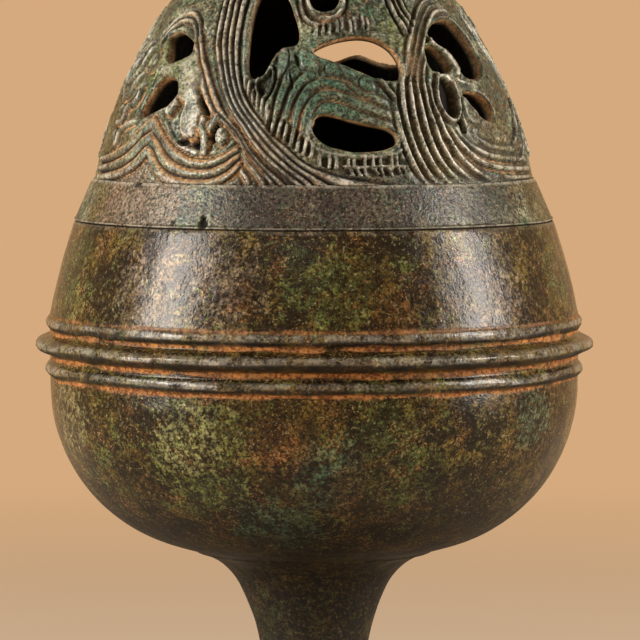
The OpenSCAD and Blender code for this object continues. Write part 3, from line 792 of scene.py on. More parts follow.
def vent_edges(faces):
    """Edges that only one face uses, in that face's direction, as pairs of point numbers."""
    pairs = np.vstack([np.stack([f, np.roll(f, -1, 1)], -1).reshape(-1, 2) for f in faces])
    key = np.sort(pairs, 1) @ np.array([1 << 32, 1])
    _, first, count = np.unique(key, return_index=True, return_counts=True)
    return pairs[first[count == 1]]


def merged_cells(number, whole, keep):
    """Whole cells gathered into blocks; a block takes in the edge points that finer neighbours use."""
    rows, columns = whole.shape
    rows_used = rows - rows % COARSE
    tiles = whole[:rows_used].reshape(rows_used // COARSE, COARSE, columns // COARSE, COARSE).all((1, 3))
    in_tile = np.zeros_like(whole)
    in_tile[:rows_used] = np.repeat(np.repeat(tiles, COARSE, 0), COARSE, 1)
    fine = whole & ~in_tile
    used = keep.copy()
    for di in (0, 1):
        for dj in (0, 1):
            used[di:rows + di] |= np.roll(fine, dj, 1)
    used[:rows_used + 1:COARSE, ::COARSE] = True
    blocks = {}
    for i, j in np.argwhere(tiles):
        low, left = i * COARSE, j * COARSE
        loop = [(low, left + k) for k in range(COARSE)]
        loop += [(low + k, left + COARSE) for k in range(COARSE)]
        loop += [(low + COARSE, left + COARSE - k) for k in range(COARSE)]
        loop += [(low + COARSE - k, left) for k in range(COARSE)]
        corners = [number[r, c % columns] for r, c in loop if used[r, c % columns]]
        blocks.setdefault(len(corners), []).append(corners)
    return [np.array(b) for b in blocks.values()], fine


def ring_strip(low, high):
    """Faces between two rings of point numbers. One may have a whole multiple of the other's points."""
    if len(low) == len(high):
        return np.stack([low, np.roll(low, -1), np.roll(high, -1), high], -1)
    if len(low) > len(high):
        n = len(low) // len(high)
        parts = [np.roll(low, -k)[::n] for k in range(n + 1)]
        return np.stack(parts + [np.roll(high, -1), high], -1)
    n = len(high) // len(low)
    parts = [np.roll(high, -k)[::n] for k in range(n, -1, -1)]
    return np.stack([low, np.roll(low, -1)] + parts, -1)


# Places on the lid, each as degrees, mm above the joint, reach in mm and strength
ROUGH_PLACES = [
    (-6, 31, 8, 1.0), (10, 30, 7, 0.8), (-72, 26, 13, 1.0), (66, 20, 11, 0.8), (-30, 46, 9, 0.3),
    (20, 42, 10, 0.6),
]
SOIL_PLACES = [
    (-36, 14, 11, 0.9), (-58, 14, 11, 0.7), (-18, 12, 8, 0.5), (-48, 27, 8, 0.8), (10, 36.5, 6, 0.8),
    (22, 35.5, 6, 0.9), (6, 26, 10, 0.6), (58, 12, 10, 0.5), (54, 26, 8, 0.7), (-66, 30, 12, 0.4),
    (-66, 21, 8, 0.5), (-40, 19, 3, 1.0), (-33.5, 15, 2.5, 1.0), (28.6, 31.5, 2, 0.4),
]
DULL_PLACES = [
    (2, 26, 11, 0.75), (-12, 25, 8, 0.6), (16, 28, 8, 0.6), (-70, 24, 14, 0.7), (66, 20, 10, 0.6),
    (-14, 15, 7, 0.3),
]

# Radius of the lid at the joint, and how much it loses with each mm of height
PLACE_R = 45
PLACE_LEAN = 0.28

# Unevenness of the lid, by height, size and seed: old casting, rough rock and patches of soil
CASTING_ROUGH = [(0.10, 16, 3), (0.06, 4.2, 4), (0.06, 1.5, 5), (0.06, 0.8, 6)]
ROCK_ROUGH = [(0.32, 2.8, 7), (0.2, 1.3, 8)]
SOIL_LEAST = 0.2
SOIL_ROUGH = [(0.4, 7, 51), (0.3, 2.2, 52)]


def place_share(points, places):
    """How near points are to some places on the lid's front, and to the same ones on its back."""
    share = 0
    for at, height, reach, strength in places:
        for turn in (0, 180):
            centre = place(PLACE_R - PLACE_LEAN * height, at + turn, JOINT_Z + height)
            share = share + strength * np.exp(-((points - centre) ** 2).sum(-1) / reach ** 2)
    return share


def lid_uneven(points):
    """Slight unevenness of the old casting, in mm, and rough rock in some places."""
    rock = rough(points, ROCK_ROUGH) * np.clip(place_share(points, ROUGH_PLACES), 0, 1)
    return rough(points, CASTING_ROUGH) + rock


def soil_share(points):
    """How much of the groove's filling is tan soil, from 0 to 1."""
    share = rough(points, SOIL_ROUGH, SOIL_LEAST)
    return np.clip(share + place_share(points, SOIL_PLACES), 0, 1)


# Marks of the relief: each starts at the first value, a height, depth or share, and is full over the second
CELLS_ROUND = 4
FULL_GROOVE = 0.6
LOW_FROM, LOW_OVER = 0.1, 0.5
# Deep pockets are painted dark as shade from the first depth down
DEEP_FROM, DEEP_OVER = -0.8, 0.4
FILLED_FROM, FILLED_OVER = 0.7, 0.3
CREST_FROM, CREST_OVER = 0.14, 0.25
# Painted shade in low places, and the share of soil there
LOW_DARK = 0.8
LOW_SOIL = 0.3


def relief_marks(field, points, level):
    """Marks of the carved face: soil in hollows, wear and painted highlight on crests, painted shade in
    grooves, no soot.
    """
    above = level - blurred(level, CELLS_ROUND)
    groove = np.clip(field.cut / FULL_GROOVE, 0, 1)
    low = np.clip((-above - LOW_FROM) / LOW_OVER, 0, 1)
    soil = soil_share(points)
    deep = np.clip((DEEP_FROM - field.level) / DEEP_OVER, 0, 1)
    filled = smooth((groove - FILLED_FROM) / FILLED_OVER) * (field.earth == 0)
    filled = np.maximum(filled, field.earth)
    bright = 1 - np.clip(place_share(points, DULL_PLACES), 0, 1)
    # Painted shade in grooves and low places, less where soil fills them, and the painted shadow beside
    # strands
    dark = np.maximum(np.maximum(groove, LOW_DARK * low) * (1 - filled * soil), field.shade)
    marks = np.zeros(level.shape + (4,))
    marks[..., 0] = np.maximum(filled, LOW_SOIL * low) * soil * (1 - deep)
    # Wear on crests, and the painted highlights of the light layer
    marks[..., 1] = np.maximum((above - CREST_FROM) / CREST_OVER * bright, field.light)
    marks[..., 2] = np.maximum(dark, deep)
    return marks


# The vents lie outside this radius, and rows inside the next one have every fourth column
VENTED_R = 22.0
NARROW_R = 12.0

# Soil in a groove lifts its floor by this share, from one depth of groove over the next
FILLING = 0.5
FILLING_FROM = 0.3

# Rings of the vents' walls: depth, swell of the middle and soot; then the walls' unevenness and least soil
VENT_RINGS = [(0.75, 0.16, 0.05), (1.6, 0.14, 0.3)]
VENT_ROUGH = [(0.12, 2.4, 9)]
VENT_SOIL = 0.6

# Marks of the inside and of the summit: soil, wear, dark and soot
INSIDE_MARK = (0.15, 0, 0.1, 1)
SUMMIT_MARK = (0.1, 0.1, 0.2, 0)

# Flutes and unevenness of the summit; the flutes start at one radius and are full over the next
FLUTES = 8
FLUTE_DEPTH = 0.32
FLUTE_TURN = 0.5
FLUTE_FROM, FLUTE_OVER = 1.2, 3
SUMMIT_ROUGH = [(0.08, 2.2, 7)]
SUMMIT_BULGE = 0.55

# Radii of the rings inside the dome above the vents, and radius and height of those inside the band
INSIDE_RADII = (18, 14, 10, 6, 3)
BAND_INSIDE = [(44.8, 127.95), (43.0, 131.7), (41.15, 135.5)]

# Unevenness of the band outwards and upwards, and radius of its rounded edges
BAND_ROUGH = [(0.10, 22, 11), (0.03, 2.6, 12)]
BAND_SWAY = [(0.05, 9, 13)]
BAND_TOP_ROUND = 0.3
BAND_EDGE_ROUND = 0.35

# Painted shade at the seam between the lid and the bowl
SEAM_H = 0.2
SEAM_DARK = 0.9

# Casting holes in the lid's band, sunk and painted dark as shade: degrees, mm above the joint, radius in mm
PIT_DEPTH = 0.8
BAND_PITS = [
    (-50, 8.2, 0.7), (-26.3, 0.9, 0.7), (-26.5, 1.9, 0.45), (-34.5, 1.2, 0.3), (62, 5.2, 0.5),
    (118, 3.1, 0.6), (-140, 4.6, 0.5), (171, 2.2, 0.7), (-98, 6.0, 0.4),
]
BAND_MEAN_R = 45.5


class LidMesh:
    """Points, patina marks and faces of the lid, made part by part round the carved dome."""

    def __init__(self, field):
        self.field = field
        self.degrees, self.run, self.side, self.slope = snap_to_vents(field)
        rows = int(np.searchsorted(-field.radius, -VENTED_R))
        self.rows = rows + -(rows - 1) % COARSE
        self.points, self.marks, self.faces = [], [], []
        self.count = 0

    def add(self, points, marks):
        """Adds a block of points and returns their numbers in the same shape."""
        points = np.asarray(points)
        shape = points.shape[:-1]
        first, self.count = self.count, self.count + int(np.prod(shape))
        self.points.append(points.reshape(-1, 3))
        self.marks.append(np.broadcast_to(marks, shape + (4,)).reshape(-1, 4))
        return np.arange(first, self.count).reshape(shape)

    def add_plain_ring(self, radius, z):
        """Adds a ring of the plain inside."""
        return self.add(place(radius, self.field.degrees[::COARSE], z), INSIDE_MARK)

    def carve(self):
        """The carved outer face, open at the vents."""
        field = self.field
        base = dome_point(field, self.degrees, self.run, 0)
        filling = FILLING * soil_share(base) * smooth((field.cut - FILLING_FROM) / FILLING_FROM)
        level = np.maximum(field.level - field.cut * (1 - filling), DEEPEST) + lid_uneven(base)
        marks = relief_marks(field, base, level)
        self.outer = self.add(dome_point(field, self.degrees, self.run, level), marks)
        corner, whole, halves = open_cells(self.outer[:self.rows], self.side[:self.rows])
        self.faces += [corner[whole], halves]

    def wall_vents(self):
        """Walls of the vents, a little swollen in the middle, down to the inner face's points."""
        field, rows = self.field, self.rows
        inside = dome_point(field, self.degrees[:rows], self.run[:rows], -LID_WALL)
        self.inner = self.add(inside, INSIDE_MARK)
        edges = vent_edges(self.faces)
        edges = edges[(self.side.ravel()[edges] == 0).all(1)]
        rim = self.rim = np.unique(edges)
        degrees, run = self.degrees.ravel()[rim], self.run.ravel()[rim]
        slope_x, slope_y = (slope.ravel()[rim] for slope in self.slope)
        across = np.repeat(field.radius, LID_COLUMNS)[rim] * RAD
        uneven = rough(dome_point(field, degrees, run, 0), VENT_ROUGH)
        rings = [rim]
        for depth, swell, soot in VENT_RINGS:
            out = swell + uneven
            points = dome_point(field, degrees - out * slope_x / across, run - out * slope_y, -depth)
            marks = np.zeros((len(rim), 4))
            marks[:, 0] = np.maximum(soil_share(points), VENT_SOIL)
            marks[:, 3] = soot
            rings.append(self.add(points, marks))
        rings.append(self.inner.ravel()[rim])
        a, b = np.searchsorted(rim, edges).T
        for high, low in zip(rings, rings[1:]):
            self.faces.append(np.stack([high[b], high[a], low[a], low[b]], -1))

    def line_inside(self):
        """The inner face, its whole cells merged into blocks."""
        keep = np.zeros(self.inner.shape, bool)
        keep.ravel()[self.rim] = True
        corner, whole, halves = open_cells(self.inner, self.side[:self.rows])
        blocks, fine = merged_cells(self.inner, whole, keep)
        self.faces += [face[:, ::-1] for face in blocks + [corner[fine], halves]]

    def add_summit(self):
        """The dome above the vents, with fewer columns as it narrows, and the summit."""
        below = self.outer[self.rows - 1]
        for radius, row in zip(self.field.radius[self.rows:], self.outer[self.rows:]):
            here = row[::2] if radius > NARROW_R else row[::4]
            self.faces.append(ring_strip(below, here))
            below = here
        for radius, z, count in summit_rows():
            turn = self.field.degrees[::LID_COLUMNS // count]
            flute = FLUTE_DEPTH * np.cos(FLUTES * turn * RAD + FLUTE_TURN)
            flute = flute * smooth((radius - FLUTE_FROM) / FLUTE_OVER)
            points = place(radius + flute, turn, z)
            here = self.add(points + rough(points, SUMMIT_ROUGH)[:, None], SUMMIT_MARK)
            self.faces.append(ring_strip(below, here))
            below = here
        top = self.add([[0, 0, SUMMIT_TOP_Z]], SUMMIT_MARK)
        self.faces.append(np.stack([below, np.roll(below, -1), np.full(len(below), top[0])], -1))

    def close_inside(self):
        """The plain inside above the vents."""
        below = self.inner[self.rows - 1, ::COARSE]
        for radius in INSIDE_RADII:
            here = self.add_plain_ring(radius, inside_height(radius))
            self.faces.append(ring_strip(below, here)[:, ::-1])
            below = here
        top = self.add([[0, 0, inside_height(0)]], INSIDE_MARK)
        self.faces.append(np.stack([np.roll(below, -1), below, np.full(len(below), top[0])], -1))

    def add_band(self):
        """The band, from the dome's foot down its outside, under its edge and up inside."""
        columns = self.field.degrees
        above = self.outer[0]
        for radius, z, worn in lid_band_rows():
            flat = place(radius, columns, z)
            pits = band_pits(columns, z)
            out = radius + rough(flat, BAND_ROUGH) - PIT_DEPTH * pits
            marks = np.zeros((LID_COLUMNS, 4))
            marks[:, 1] = worn * (1 - pits)
            # Painted shade in the casting holes and at the seam
            marks[:, 2] = np.maximum(pits, SEAM_DARK if z < JOINT_Z + SEAM_H else 0)
            here = self.add(place(out, columns, z + rough(flat, BAND_SWAY)), marks)
            self.faces.append(ring_strip(here, above))
            above = here
        inside = [self.add_plain_ring(radius, z) for radius, z in BAND_INSIDE]
        for here in inside + [self.inner[0, ::COARSE]]:
            self.faces.append(ring_strip(here, above))
            above = here


def hill_lid():
    """The lid: carved dome with its vents, summit, plain inside and band."""
    lid = LidMesh(carved_lid())
    lid.carve()
    lid.wall_vents()
    lid.line_inside()
    lid.add_summit()
    lid.close_inside()
    lid.add_band()
    return build_mesh("carved_lid", np.vstack(lid.points), lid.faces, np.vstack(lid.marks))


def inside_height(radius):
    """Height of the dome's inner face at a radius."""
    return DOME_CENTRE[1] + math.sqrt((DOME_SWEEP_R - LID_WALL) ** 2 - (radius - DOME_CENTRE[0]) ** 2)


def summit_rows():
    """Radius, height and point count of the rings of the summit, from its foot to its tip."""
    tip_z = SUMMIT_TOP_Z - SUMMIT_TIP_R
    foot_z = DOME_CENTRE[1] + math.sqrt(DOME_SWEEP_R ** 2 - (SUMMIT_R - DOME_CENTRE[0]) ** 2)
    rows = []
    for t in np.linspace(0.06, 1, 20):
        radius = SUMMIT_R + (SUMMIT_TIP_R - SUMMIT_R) * t + SUMMIT_BULGE * math.sin(math.pi * t)
        rows.append((radius, foot_z + (tip_z - foot_z) * t, LID_COLUMNS // 4))
    for a in (22, 45, 66):
        radius, rise = SUMMIT_TIP_R * math.cos(a * RAD), SUMMIT_TIP_R * math.sin(a * RAD)
        rows.append((radius, tip_z + rise, LID_COLUMNS // 8))
    return rows


def lid_band_rows():
    """Radius, height and wear of the rings of the lid's band, from the dome down to its lower edge."""
    top_z = JOINT_Z + LID_BAND_H
    lean = (LID_MOUTH_R - LID_BAND_TOP_R) / LID_BAND_H
    top_r = LID_BAND_TOP_R - BAND_TOP_ROUND
    rows = [(LID_BAND_TOP_R - DOME_STEP + 0.02, top_z - 0.05, 0.0), (top_r, top_z + 0.02, 0.2)]
    for a in (70, 40, 10):
        out, up = BAND_TOP_ROUND * math.cos(a * RAD), 0.32 * math.sin(a * RAD)
        rows.append((top_r + out, top_z - BAND_TOP_ROUND + up, 0.45))
    for drop in np.arange(0.7, LID_BAND_H - 0.45, 0.42):
        rows.append((LID_BAND_TOP_R + lean * drop, top_z - drop, 0.0))
    edge_r = LID_MOUTH_R - BAND_EDGE_ROUND
    for a in (20, -15, -50, -80):
        out, up = BAND_EDGE_ROUND * math.cos(a * RAD), BAND_EDGE_ROUND * math.sin(a * RAD)
        rows.append((edge_r + out, JOINT_Z + 0.4 + up, 0.35 if a > -60 else 0.0))
    rows.append((LID_MOUTH_R - 1.2, JOINT_Z + 0.05, 0.0))
    rows.append((LID_MOUTH_R - LID_BAND_W + 0.3, JOINT_Z + 0.05, 0.0))
    return rows


def band_pits(degrees, z):
    """How deep in a casting hole each point of a row of the band is, which is also its share of painted
    shade.
    """
    dark = np.zeros(len(degrees))
    for at, height, size in BAND_PITS:
        away = np.hypot(arc_from(degrees, at, BAND_MEAN_R), z - JOINT_Z - height)
        dark = np.maximum(dark, near(away, size, 1.6))
    return dark


# Bowl, stem and foot

BELLY_CENTRE = (19.7, 94.85)
BELLY_SWEEP_R = 32.5
BELLY_R = 52.2
BOWL_WALL = 2.5
BAND_R = 52.1
BAND_H = 18.0
BAND_SWEEP_R = 130.0
STEM_TOP_R = 23.4
RIVET_HOLE_R = 3.2
FLOOR_Z = 64.85
LIP_R = 44.3
LIP_LEAN = 0.4337
LIP_H = 5.0
LIP_W = 1.6
SHOULDER_T = 3.0
SHOULDER_ROUND = 0.35
BOWL_SEAT_GAP = 0.6

# Ribs: crest radius, distance below the joint, root width and nose radius
RIBS = [(52.8, 20.0, 2.4, 0.6), (55.0, 24.2, 3.6, 0.7), (53.1, 29.0, 2.4, 0.6)]
RIB_FOOT = 0.25
RIB_POWER = 1.15

# Heights between which the ribbed zone's rings lie close together, and the spacing of rings on the bowl
RIBS_LOW_Z = 96.6
RIBS_HIGH_Z = 109.5
RIB_STEP = 0.17
BOWL_STEP = 0.42
INNER_STEP = 1.6


def band_radius(z):
    """Outside radius of the bowl's plain upper band."""
    low, high = np.array([BAND_R, JOINT_Z - BAND_H]), np.array([LID_MOUTH_R, JOINT_Z])
    chord = high - low
    span = np.hypot(*chord)
    aside = np.array([-chord[1], chord[0]])
    centre = (low + high) / 2 + math.sqrt(BAND_SWEEP_R ** 2 - span ** 2 / 4) * aside / span
    return centre[0] + np.sqrt(BAND_SWEEP_R ** 2 - (z - centre[1]) ** 2)


def rib_profile(z):
    """Outside radius of the ribbed zone: rounded crests joined by soft channels."""
    band_z = JOINT_Z - BAND_H
    radius = np.where(z > band_z, band_radius(np.maximum(z, band_z)), BELLY_R)
    for crest_r, drop, root, nose in RIBS:
        d = np.abs(z - (JOINT_Z - drop))
        half = root / 2 + RIB_FOOT
        flank = np.clip((half - d) / (half - nose * 0.5), 0, 1)
        crest = BELLY_R + (crest_r - BELLY_R) * np.sin(flank * math.pi / 2) ** RIB_POWER
        radius = np.where(d < half, np.maximum(radius, crest), radius)
    return radius


def bowl_outline():
    """Half outline of the bowl, from the rivet hole up the outside and down the inside."""
    seat_r = STEM_TOP_R - BOWL_SEAT_GAP
    start = -math.degrees(math.acos((seat_r - BELLY_CENTRE[0]) / BELLY_SWEEP_R))
    belly = arc(BELLY_CENTRE, BELLY_SWEEP_R, start, 0, 0.5)
    z = np.concatenate([
        np.arange(BELLY_CENTRE[1] + 0.4, RIBS_LOW_Z, 0.4),
        np.arange(RIBS_LOW_Z, RIBS_HIGH_Z, RIB_STEP),
        np.arange(RIBS_HIGH_Z + 0.1, JOINT_Z - 0.3, BOWL_STEP),
    ])
    side = np.stack([rib_profile(z), z], 1)
    edge = arc((LID_MOUTH_R - SHOULDER_ROUND, JOINT_Z - SHOULDER_ROUND), SHOULDER_ROUND, 20, 90, 0.12)
    lip_top_r = LIP_R - LIP_LEAN * LIP_H
    lip = joined(line((LIP_R, JOINT_Z), (lip_top_r + 0.1, JOINT_Z + LIP_H - 0.35), 1.2),
                 arc((lip_top_r - LIP_W / 2, JOINT_Z + LIP_H - 0.6), 0.62, 10, 170, 0.35))
    band_z = JOINT_Z - BAND_H
    inner_r = BELLY_R - BOWL_WALL
    inner_z = np.arange(JOINT_Z - SHOULDER_T - 0.4, band_z, -INNER_STEP)
    inner_band = np.stack([band_radius(inner_z) - BOWL_WALL, inner_z], 1)
    inner_wall = line((inner_r, band_z), (inner_r, BELLY_CENTRE[1]), INNER_STEP)
    inner_belly = arc(BELLY_CENTRE, BELLY_SWEEP_R - BOWL_WALL, 0, -90, INNER_STEP)
    lip_in = LIP_R - LIP_W + LIP_LEAN * SHOULDER_T
    return joined(
        line((RIVET_HOLE_R, BOWL_SEAT_Z), (seat_r, BOWL_SEAT_Z), 3), belly, side, edge,
        line((LID_MOUTH_R - 0.8, JOINT_Z), (LIP_R + 0.2, JOINT_Z), 0.8), lip,
        [(lip_in, JOINT_Z - SHOULDER_T)], inner_band, inner_wall, inner_belly,
        line((BELLY_CENTRE[0] - 1, FLOOR_Z), (RIVET_HOLE_R, FLOOR_Z), 2.5))


# Wear and painted highlight of the three ribs, how far above the middle the highlight is painted, and the
# half width of the painted shade under each rib as a share of the root; then the channels by the ribs: drop
# below the joint, half width, soil
RIB_WEAR_AND_HIGHLIGHT = (0.35, 0.4, 0.35)
RIB_LIT = 0.4
RIB_UNDER = 0.22
CHANNELS = [(18.6, 0.3, 0.45), (21.6, 0.5, 1.0), (26.6, 0.42, 1.0), (30.5, 0.38, 0.9)]

# Nicks in the ribs: degrees, which rib, width and depth in mm; then their reach upwards and the mean radius
NICKS = [
    (-32, 1, 2.2, 0.35), (9, 2, 1.6, 0.2), (41, 1, 2.6, 0.4), (-58, 2, 1.8, 0.3), (22, 0, 1.5, 0.3),
    (63, 0, 2.0, 0.3), (130, 1, 2.4, 0.5), (-150, 2, 2.2, 0.4), (-100, 0, 1.8, 0.35), (96, 2, 2.0, 0.3),
]
NICK_REACH = 1.2
RIB_MEAN_R = 53

# Parts of the bowl: lowest height of the ribbed outside, the faces in view, the edge and seam at the joint,
# the height under the floor, and the depths in the wall where the inside starts
OUTSIDE_Z = 94
SEEN_R = 40
SEEN_Z = 70
EDGE_R = 46
SEAM_R = 45
UNDER_FLOOR_Z = 63
BELLY_MID_WALL = 1.5
BAND_MID_WALL = 1.2
SKIN = 0.9

# Radius at which the ribs' sway is drawn, and unevenness of the bowl, by height, size and seed
SWAY_R = 52.0
BOWL_DENTS = [(0.16, 26, 25), (0.06, 5.5, 26), (0.03, 1.8, 27)]
RIB_SOIL_ROUGH = [(0.3, 6, 28), (0.3, 1.6, 30)]


def rib_weight(z, wide):
    """Nearness to a rib's crest, wear with painted highlight, soil widened by wide, painted shade under
    ribs.
    """
    crest, worn, soil, under = 0, 0, 0, 0
    for (_, drop, root, nose), share in zip(RIBS, RIB_WEAR_AND_HIGHLIGHT):
        up = z - JOINT_Z + drop
        half = RIB_UNDER * root
        crest = np.maximum(crest, near(up, root / 2, 1.25))
        worn = np.maximum(worn, share * near(up - RIB_LIT, nose))
        under = np.maximum(under, near(up + RIB_LIT / 2 + half, half))
    for drop, half, share in CHANNELS:
        soil = np.maximum(soil, share * near(z - JOINT_Z + drop, half * wide, 1.5))
    return crest, worn, soil, under


def rib_nicks(z, degrees):
    """Depth of the nicks in the ribs."""
    nick = 0
    for at, which, wide, deep in NICKS:
        across = arc_from(degrees, at, RIB_MEAN_R)
        beside = near(z - JOINT_Z + RIBS[which][1], NICK_REACH)
        nick = nick + deep * beside * np.exp(-(across / (wide / 2)) ** 2)
    return nick


def bowl_inside(r, z):
    """True at the points of the bowl's inner face."""
    sweep = np.hypot(r - BELLY_CENTRE[0], z - BELLY_CENTRE[1])
    above_floor = (r < BELLY_CENTRE[0]) & (z > UNDER_FLOOR_Z)
    hollow = (sweep < BELLY_SWEEP_R - BELLY_MID_WALL) | above_floor
    return np.where(z < BELLY_CENTRE[1], hollow, r < rib_profile(z) - BAND_MID_WALL)


def bowl_shape(r, z, degrees):
    """Hand-finished unevenness of the bowl, and patina marks with painted shade under ribs and at the seam.
    """
    points = place(r, degrees, z)
    around = place(SWAY_R, degrees, 0)
    upwards = z[..., None] * [0, 0, 1]
    outside = (r > rib_profile(z) - SKIN) & (z > OUTSIDE_Z) & (z <= JOINT_Z - 0.2)
    crest, worn, soil, under = rib_weight(z, 1 + 0.8 * cloud(around + 1.5 * upwards, 5, 36))
    sway = 0.45 * cloud(around, 17, 21) + 0.2 * cloud(around + 2.5 * upwards, 6.5, 22)
    hand = 0.36 * cloud(around + 4.0 * upwards, 8.0, 23) + 0.1 * cloud(points, 2.2, 24)
    dents = rough(points, BOWL_DENTS)
    nick = rib_nicks(z, degrees)
    visible = (r > SEEN_R) | (z < SEEN_Z)
    seated = smooth((np.abs(z - JOINT_Z) - 0.3) / 1.2) * smooth((r - STEM_TOP_R) / 4)
    r = r + (dents * visible * seated + (hand * crest - nick) * outside) * seated
    z = z + sway * np.maximum(crest, soil) * outside
    edge = near(z - JOINT_Z + 0.4, 0.5, 1) * (r > EDGE_R)
    seam = SEAM_DARK * near(z - JOINT_Z, SEAM_H, 1) * (r > SEAM_R)
    marks = np.zeros(r.shape + (4,))
    marks[..., 0] = soil * outside * rough(points, RIB_SOIL_ROUGH, 0.85)
    marks[..., 1] = np.maximum(worn * outside * (1 + 0.8 * cloud(points, 5, 29)), 0.2 * edge)
    # Painted shade under the ribs and at the seam
    marks[..., 2] = np.maximum(seam, under * outside * (0.65 + 0.35 * cloud(points, 4, 37)))
    marks[..., 3] = bowl_inside(r, z)
    return r, z, marks


# Arcs of the stem's side and flare: centre's radius and height, and radius
STEM_SWEEP = (53.2, 35.77, 43.0)
STEM_FLARE = (26.69, 48.7, 13.5)
STEM_TURN_Z = 54.6
STEM_BORE_R = 6.0
SPIGOT_R = 9.0
SPIGOT_H = 2.5
STEM_WEB = 6.0

# The stem's fillet runs on to a knife edge inside the bowl's wall
STEM_FILLET = [(24.2, 62.3), (25.6, 62.74), (27.0, 63.12), (28.6, 63.62), (29.6, 64.2)]
STEM_FILLET_BACK = [(28.2, 64.3), (STEM_TOP_R, 62.6)]
STEM_ROUGH = [(0.12, 14, 31), (0.05, 4, 32), (0.025, 1.2, 33)]


def stem_arc(sweep, low_z, high_z, spacing):
    """Points of an arc of the stem's side between two heights."""
    start, end = (180 - math.degrees(math.asin((z - sweep[1]) / sweep[2])) for z in (low_z, high_z))
    return arc(sweep[:2], sweep[2], start, end, spacing)


def stem_outline():
    """Half outline of the stem, up its outside and down its bore."""
    spigot_z = FOOT_TOP_Z - SPIGOT_H
    web_z = BOWL_SEAT_Z - STEM_WEB
    side = stem_arc(STEM_SWEEP, FOOT_TOP_Z, STEM_TURN_Z, 0.5)
    flare = stem_arc(STEM_FLARE, STEM_TURN_Z, BOWL_SEAT_Z - 0.35, 0.4)
    fillet = spline([flare[-1]] + STEM_FILLET, 4)
    return joined(
        [(SPIGOT_R, spigot_z), (SPIGOT_R, FOOT_TOP_Z)], side, flare, fillet, STEM_FILLET_BACK,
        line((STEM_TOP_R - 0.8, BOWL_SEAT_Z), (RIVET_HOLE_R, BOWL_SEAT_Z), 4),
        line((RIVET_HOLE_R, web_z), (STEM_BORE_R, web_z), 3),
        line((STEM_BORE_R, web_z), (STEM_BORE_R, spigot_z), 6))


def stem_shape(r, z, degrees):
    """Slight unevenness of the stem and the patina's marks."""
    points = place(r, degrees, z)
    outside = (r > SPIGOT_R + 0.5) & (z > FOOT_TOP_Z + 0.3) & (z < BOWL_SEAT_Z - 0.5)
    marks = np.zeros(r.shape + (4,))
    marks[..., 0] = smooth(1 - (z - FOOT_TOP_Z) / 2.2) * (0.6 + 0.5 * cloud(points, 5, 34))
    marks[..., 1] = 0.25 * smooth(cloud(points, 8, 35))
    return r + rough(points, STEM_ROUGH) * outside, z, marks


FOOT_R = 42.0
FOOT_RIM_H = 4.5
FOOT_RING_W = 3.0
FOOT_SWEEP = (39.0, 32.84, 28.34)
FOOT_WALL = 2.6
FOOT_WEB_Z = 15.0
COLLAR_R = 15.5
COLLAR_H = 3.0
RIM_ROUND = 0.7
RING_ROUND = 0.6
SOCKET_GAP = 0.2
FOOT_ROUGH = [(0.14, 15, 41), (0.06, 4.5, 42), (0.025, 1.3, 43)]

# Places of wear and soil on the foot: the collar, the groove under it and the step at the rim
COLLAR_LOW_Z = 16
COLLAR_GROOVE_Z = 16.6
STEP_R = 40.2
STEP_Z = 4.6


def foot_outline():
    """Half outline of the foot, from the socket out over the slope and back under."""
    collar_z = FOOT_TOP_Z - COLLAR_H / 2
    collar = arc((COLLAR_R - COLLAR_H / 2, collar_z), COLLAR_H / 2, 90, -80, 0.3)
    high = FOOT_TOP_Z - COLLAR_H - 0.1
    start = 180 + math.degrees(math.asin((FOOT_SWEEP[1] - high) / FOOT_SWEEP[2]))
    slope = arc(FOOT_SWEEP[:2], FOOT_SWEEP[2], start, 268, 0.5)
    rim = joined(arc((FOOT_R - RIM_ROUND, FOOT_RIM_H - RIM_ROUND), RIM_ROUND, 85, 0, 0.25),
                 line((FOOT_R, FOOT_RIM_H - 0.9), (FOOT_R, 0.8), 0.5),
                 arc((FOOT_R - RING_ROUND, RING_ROUND), RING_ROUND, 0, -90, 0.3))
    under = FOOT_SWEEP[2] + FOOT_WALL
    low = math.degrees(math.asin((FOOT_SWEEP[1] - FOOT_WEB_Z) / under))
    beneath = arc(FOOT_SWEEP[:2], under, 270, 180 + low, 1.2)
    socket_r, socket_z = SPIGOT_R + SOCKET_GAP, FOOT_TOP_Z - SPIGOT_H - SOCKET_GAP
    socket = [(RIVET_HOLE_R, socket_z), (socket_r, socket_z), (socket_r, FOOT_TOP_Z - 0.2),
              (SPIGOT_R + 0.5, FOOT_TOP_Z)]
    return joined(socket, collar, slope, rim, [(FOOT_R - FOOT_RING_W, 0)], beneath,
                  line((10, FOOT_WEB_Z), (RIVET_HOLE_R, FOOT_WEB_Z), 3))


